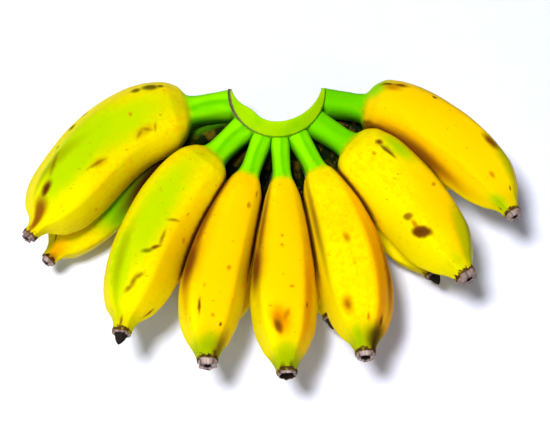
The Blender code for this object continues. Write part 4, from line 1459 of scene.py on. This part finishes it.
# %% Torn collars, caught bracts and the bract's scar
RING_POINTS = 40
COLLAR_BACK = 0.0002
TORN_LIFT = 0.22  # how far a torn flake stands off the peel
SHADE_SCRAPS_FROM, SHADE_SCRAPS_TO = 0.004, 0.024
SHADE_SCRAP_POINTS = 12
SCAR_POINTS = 120
SCAR_END = 1.0  # degrees of the crown that the scar leaves free at each end
SCAR_SIZES = (0.35, 0.90)  # size of its fibres at the thin end, and how much they gain at the thick one
SCAR_GROWS = (-20, -75)  # bearings between which they gain it


def collar_path(spine):
    """A ring round the fruit just before its dry tube."""
    at = np.array([collar_run(spine) - COLLAR_BACK])
    centre, along, radius = (value[0] for value in spine.at(at))
    side, up = sideways_and_up(along)
    phi = np.arange(RING_POINTS) * 2 * math.pi / RING_POINTS
    out = up * np.cos(phi)[:, None] + side * np.sin(phi)[:, None]
    way = unit(-along + out * TORN_LIFT)
    return Path(centre + out * radius, way, out, np.ones(RING_POINTS), True)


def shade_scrap_path(spine):
    """The top line of a lower stalk, where dark scraps of bract lie as painted shade in the gaps between the
    upper stalks.
    """
    run = np.linspace(SHADE_SCRAPS_FROM, SHADE_SCRAPS_TO, SHADE_SCRAP_POINTS)
    centre, along, radius = spine.at(run)
    up = sideways_and_up(along)[1]
    tall = spine.fruit.depth + (radius - spine.fruit.depth) * np.clip(run / ROUND_FROM, 0, 1)
    return Path(centre + up * tall[:, None], along, up, np.ones(SHADE_SCRAP_POINTS), False)


def scar_path():
    """The line of the bract on the crown's outer edge."""
    bearings = np.linspace(CROWN_BEARINGS[0] + SCAR_END, CROWN_BEARINGS[1] - SCAR_END, SCAR_POINTS)
    out = np.array([toward(b) for b in bearings])
    points = out * (CROWN_RADIUS + SCAR_RISE / 2)
    points[:, 2] = CROWN_SHOULDER + CROWN_EDGE / 2
    way = unit(np.gradient(points, axis=0))
    up = np.tile([0, 0, 1.0], (SCAR_POINTS, 1))
    return Path(points, way, up, SCAR_SIZES[0] + SCAR_SIZES[1] * ease(*SCAR_GROWS, bearings), False)


collar_paths = path_mesh([collar_path(spine) for spine in spines.values()])
collars = grow("torn_skin_round_blossom_ends", collar_paths, scrap_tree, {
    "Spacing": 0.0008, "Length": 0.0018, "Width": 0.0011, "Thickness": 0.00025, "Smallest": 0.25,
    "Wander": 0.25, "Seed": 4, "Finish": torn_skin,
})
# Scraps as painted shade on the lower stalks; the one with a lit side gets none.
lower = [s for s in spines.values() if s.fruit.row == "lower" and s.fruit.name not in LIT_SIDE]
shade_scraps = grow("bract_scraps_and_painted_shade_on_lower_stalks", path_mesh([shade_scrap_path(s) for s in lower]), scrap_tree, {
    "Spacing": 0.0022, "Length": 0.0060, "Width": 0.0034, "Thickness": 0.0005, "Smallest": 0.4,
    "Wander": 0.9, "Seed": 9, "Finish": bract_scraps_and_shade,
})
scar_fibres = grow("fibres_of_bract_scar", path_mesh([scar_path()]), scrap_tree, {
    "Spacing": 0.0007, "Length": 0.0028, "Width": 0.0007, "Thickness": 0.0004, "Smallest": 0.5,
    "Wander": 0.22, "Seed": 2, "Finish": bract_fibre,
})
print("faces:", [len(piece.data.polygons) for piece in (collars, shade_scraps, scar_fibres)])

# %% [markdown]
# On the cut face of the crown the ends of the fibre bundles show as small brown dots. A second tree
# scatters them over a copy of that face, at a given number for each square metre, and stands each one
# on the face's own normal.

# %% Fibre bundles on the cut face
CUT_FACE_FROM = 0.9  # value of the attribute from which a point belongs to the cut face
DOT_FACES = 20  # an icosphere's, before any subdivision

bundle_tree, sizes = start_tree("bundles_over_a_face", "Face", {
    "Density": "Float", "Radius": "Float", "Flatness": "Float", "Seed": "Int", "Finish": "Material",
})
scatter = bundle_tree.nodes.new("GeometryNodeDistributePointsOnFaces")
for label, socket in (("Mesh", "Face"), ("Density", "Density"), ("Seed", "Seed")):
    bundle_tree.links.new(sizes[socket], scatter.inputs[label])
dot = add(bundle_tree, "GeometryNodeMeshIcoSphere", {"Radius": sizes["Radius"], "Subdivisions": 1})
low = add(bundle_tree, "ShaderNodeCombineXYZ", {0: 1.0, 1: 1.0, 2: sizes["Flatness"]})
dot = add(bundle_tree, "GeometryNodeTransform", {"Geometry": dot, "Scale": low})
share = add(bundle_tree, "FunctionNodeRandomValue", {
    2: 0.5, 3: 1.0, "Seed": sizes["Seed"],
}, 1, data_type="FLOAT")
many = add(bundle_tree, "GeometryNodeInstanceOnPoints", {
    "Points": scatter.outputs["Points"], "Instance": dot, "Rotation": scatter.outputs["Rotation"],
    "Scale": share,
})
end_tree(bundle_tree, many, sizes["Finish"])

cut_face = crown.data.copy()
mesh = bmesh.new()
mesh.from_mesh(cut_face)
layer = mesh.verts.layers.float["cut"]
bmesh.ops.delete(mesh, geom=[v for v in mesh.verts if v[layer] < CUT_FACE_FROM], context="VERTS")
mesh.to_mesh(cut_face)
mesh.free()
bundles = grow("fibre_bundles_on_cut_face", cut_face, bundle_tree, {
    "Density": 90000.0, "Radius": 0.00055, "Flatness": 0.4, "Seed": 7, "Finish": bundle_ends,
})
print("bundles:", len(bundles.data.polygons) // DOT_FACES)

# %% [markdown]
# Each finished piece now rides on the hand's one body, and the skins and the crown stand for the plain solids
# that they cover. The small pieces are listed with one of the record's two finishes each, which nothing here
# reads.

# %% Hand over the pieces
for name, skin in skins.items():
    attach(skin, "root")
    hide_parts(name)
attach(crown, "root")
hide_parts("crown")
small_pieces = (
    (collars, "banana_peel"), (shade_scraps, "crown_skin"), (scar_fibres, "crown_skin"), (bundles, "crown_skin"),
)
for piece, slot in small_pieces:
    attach(piece, "root")
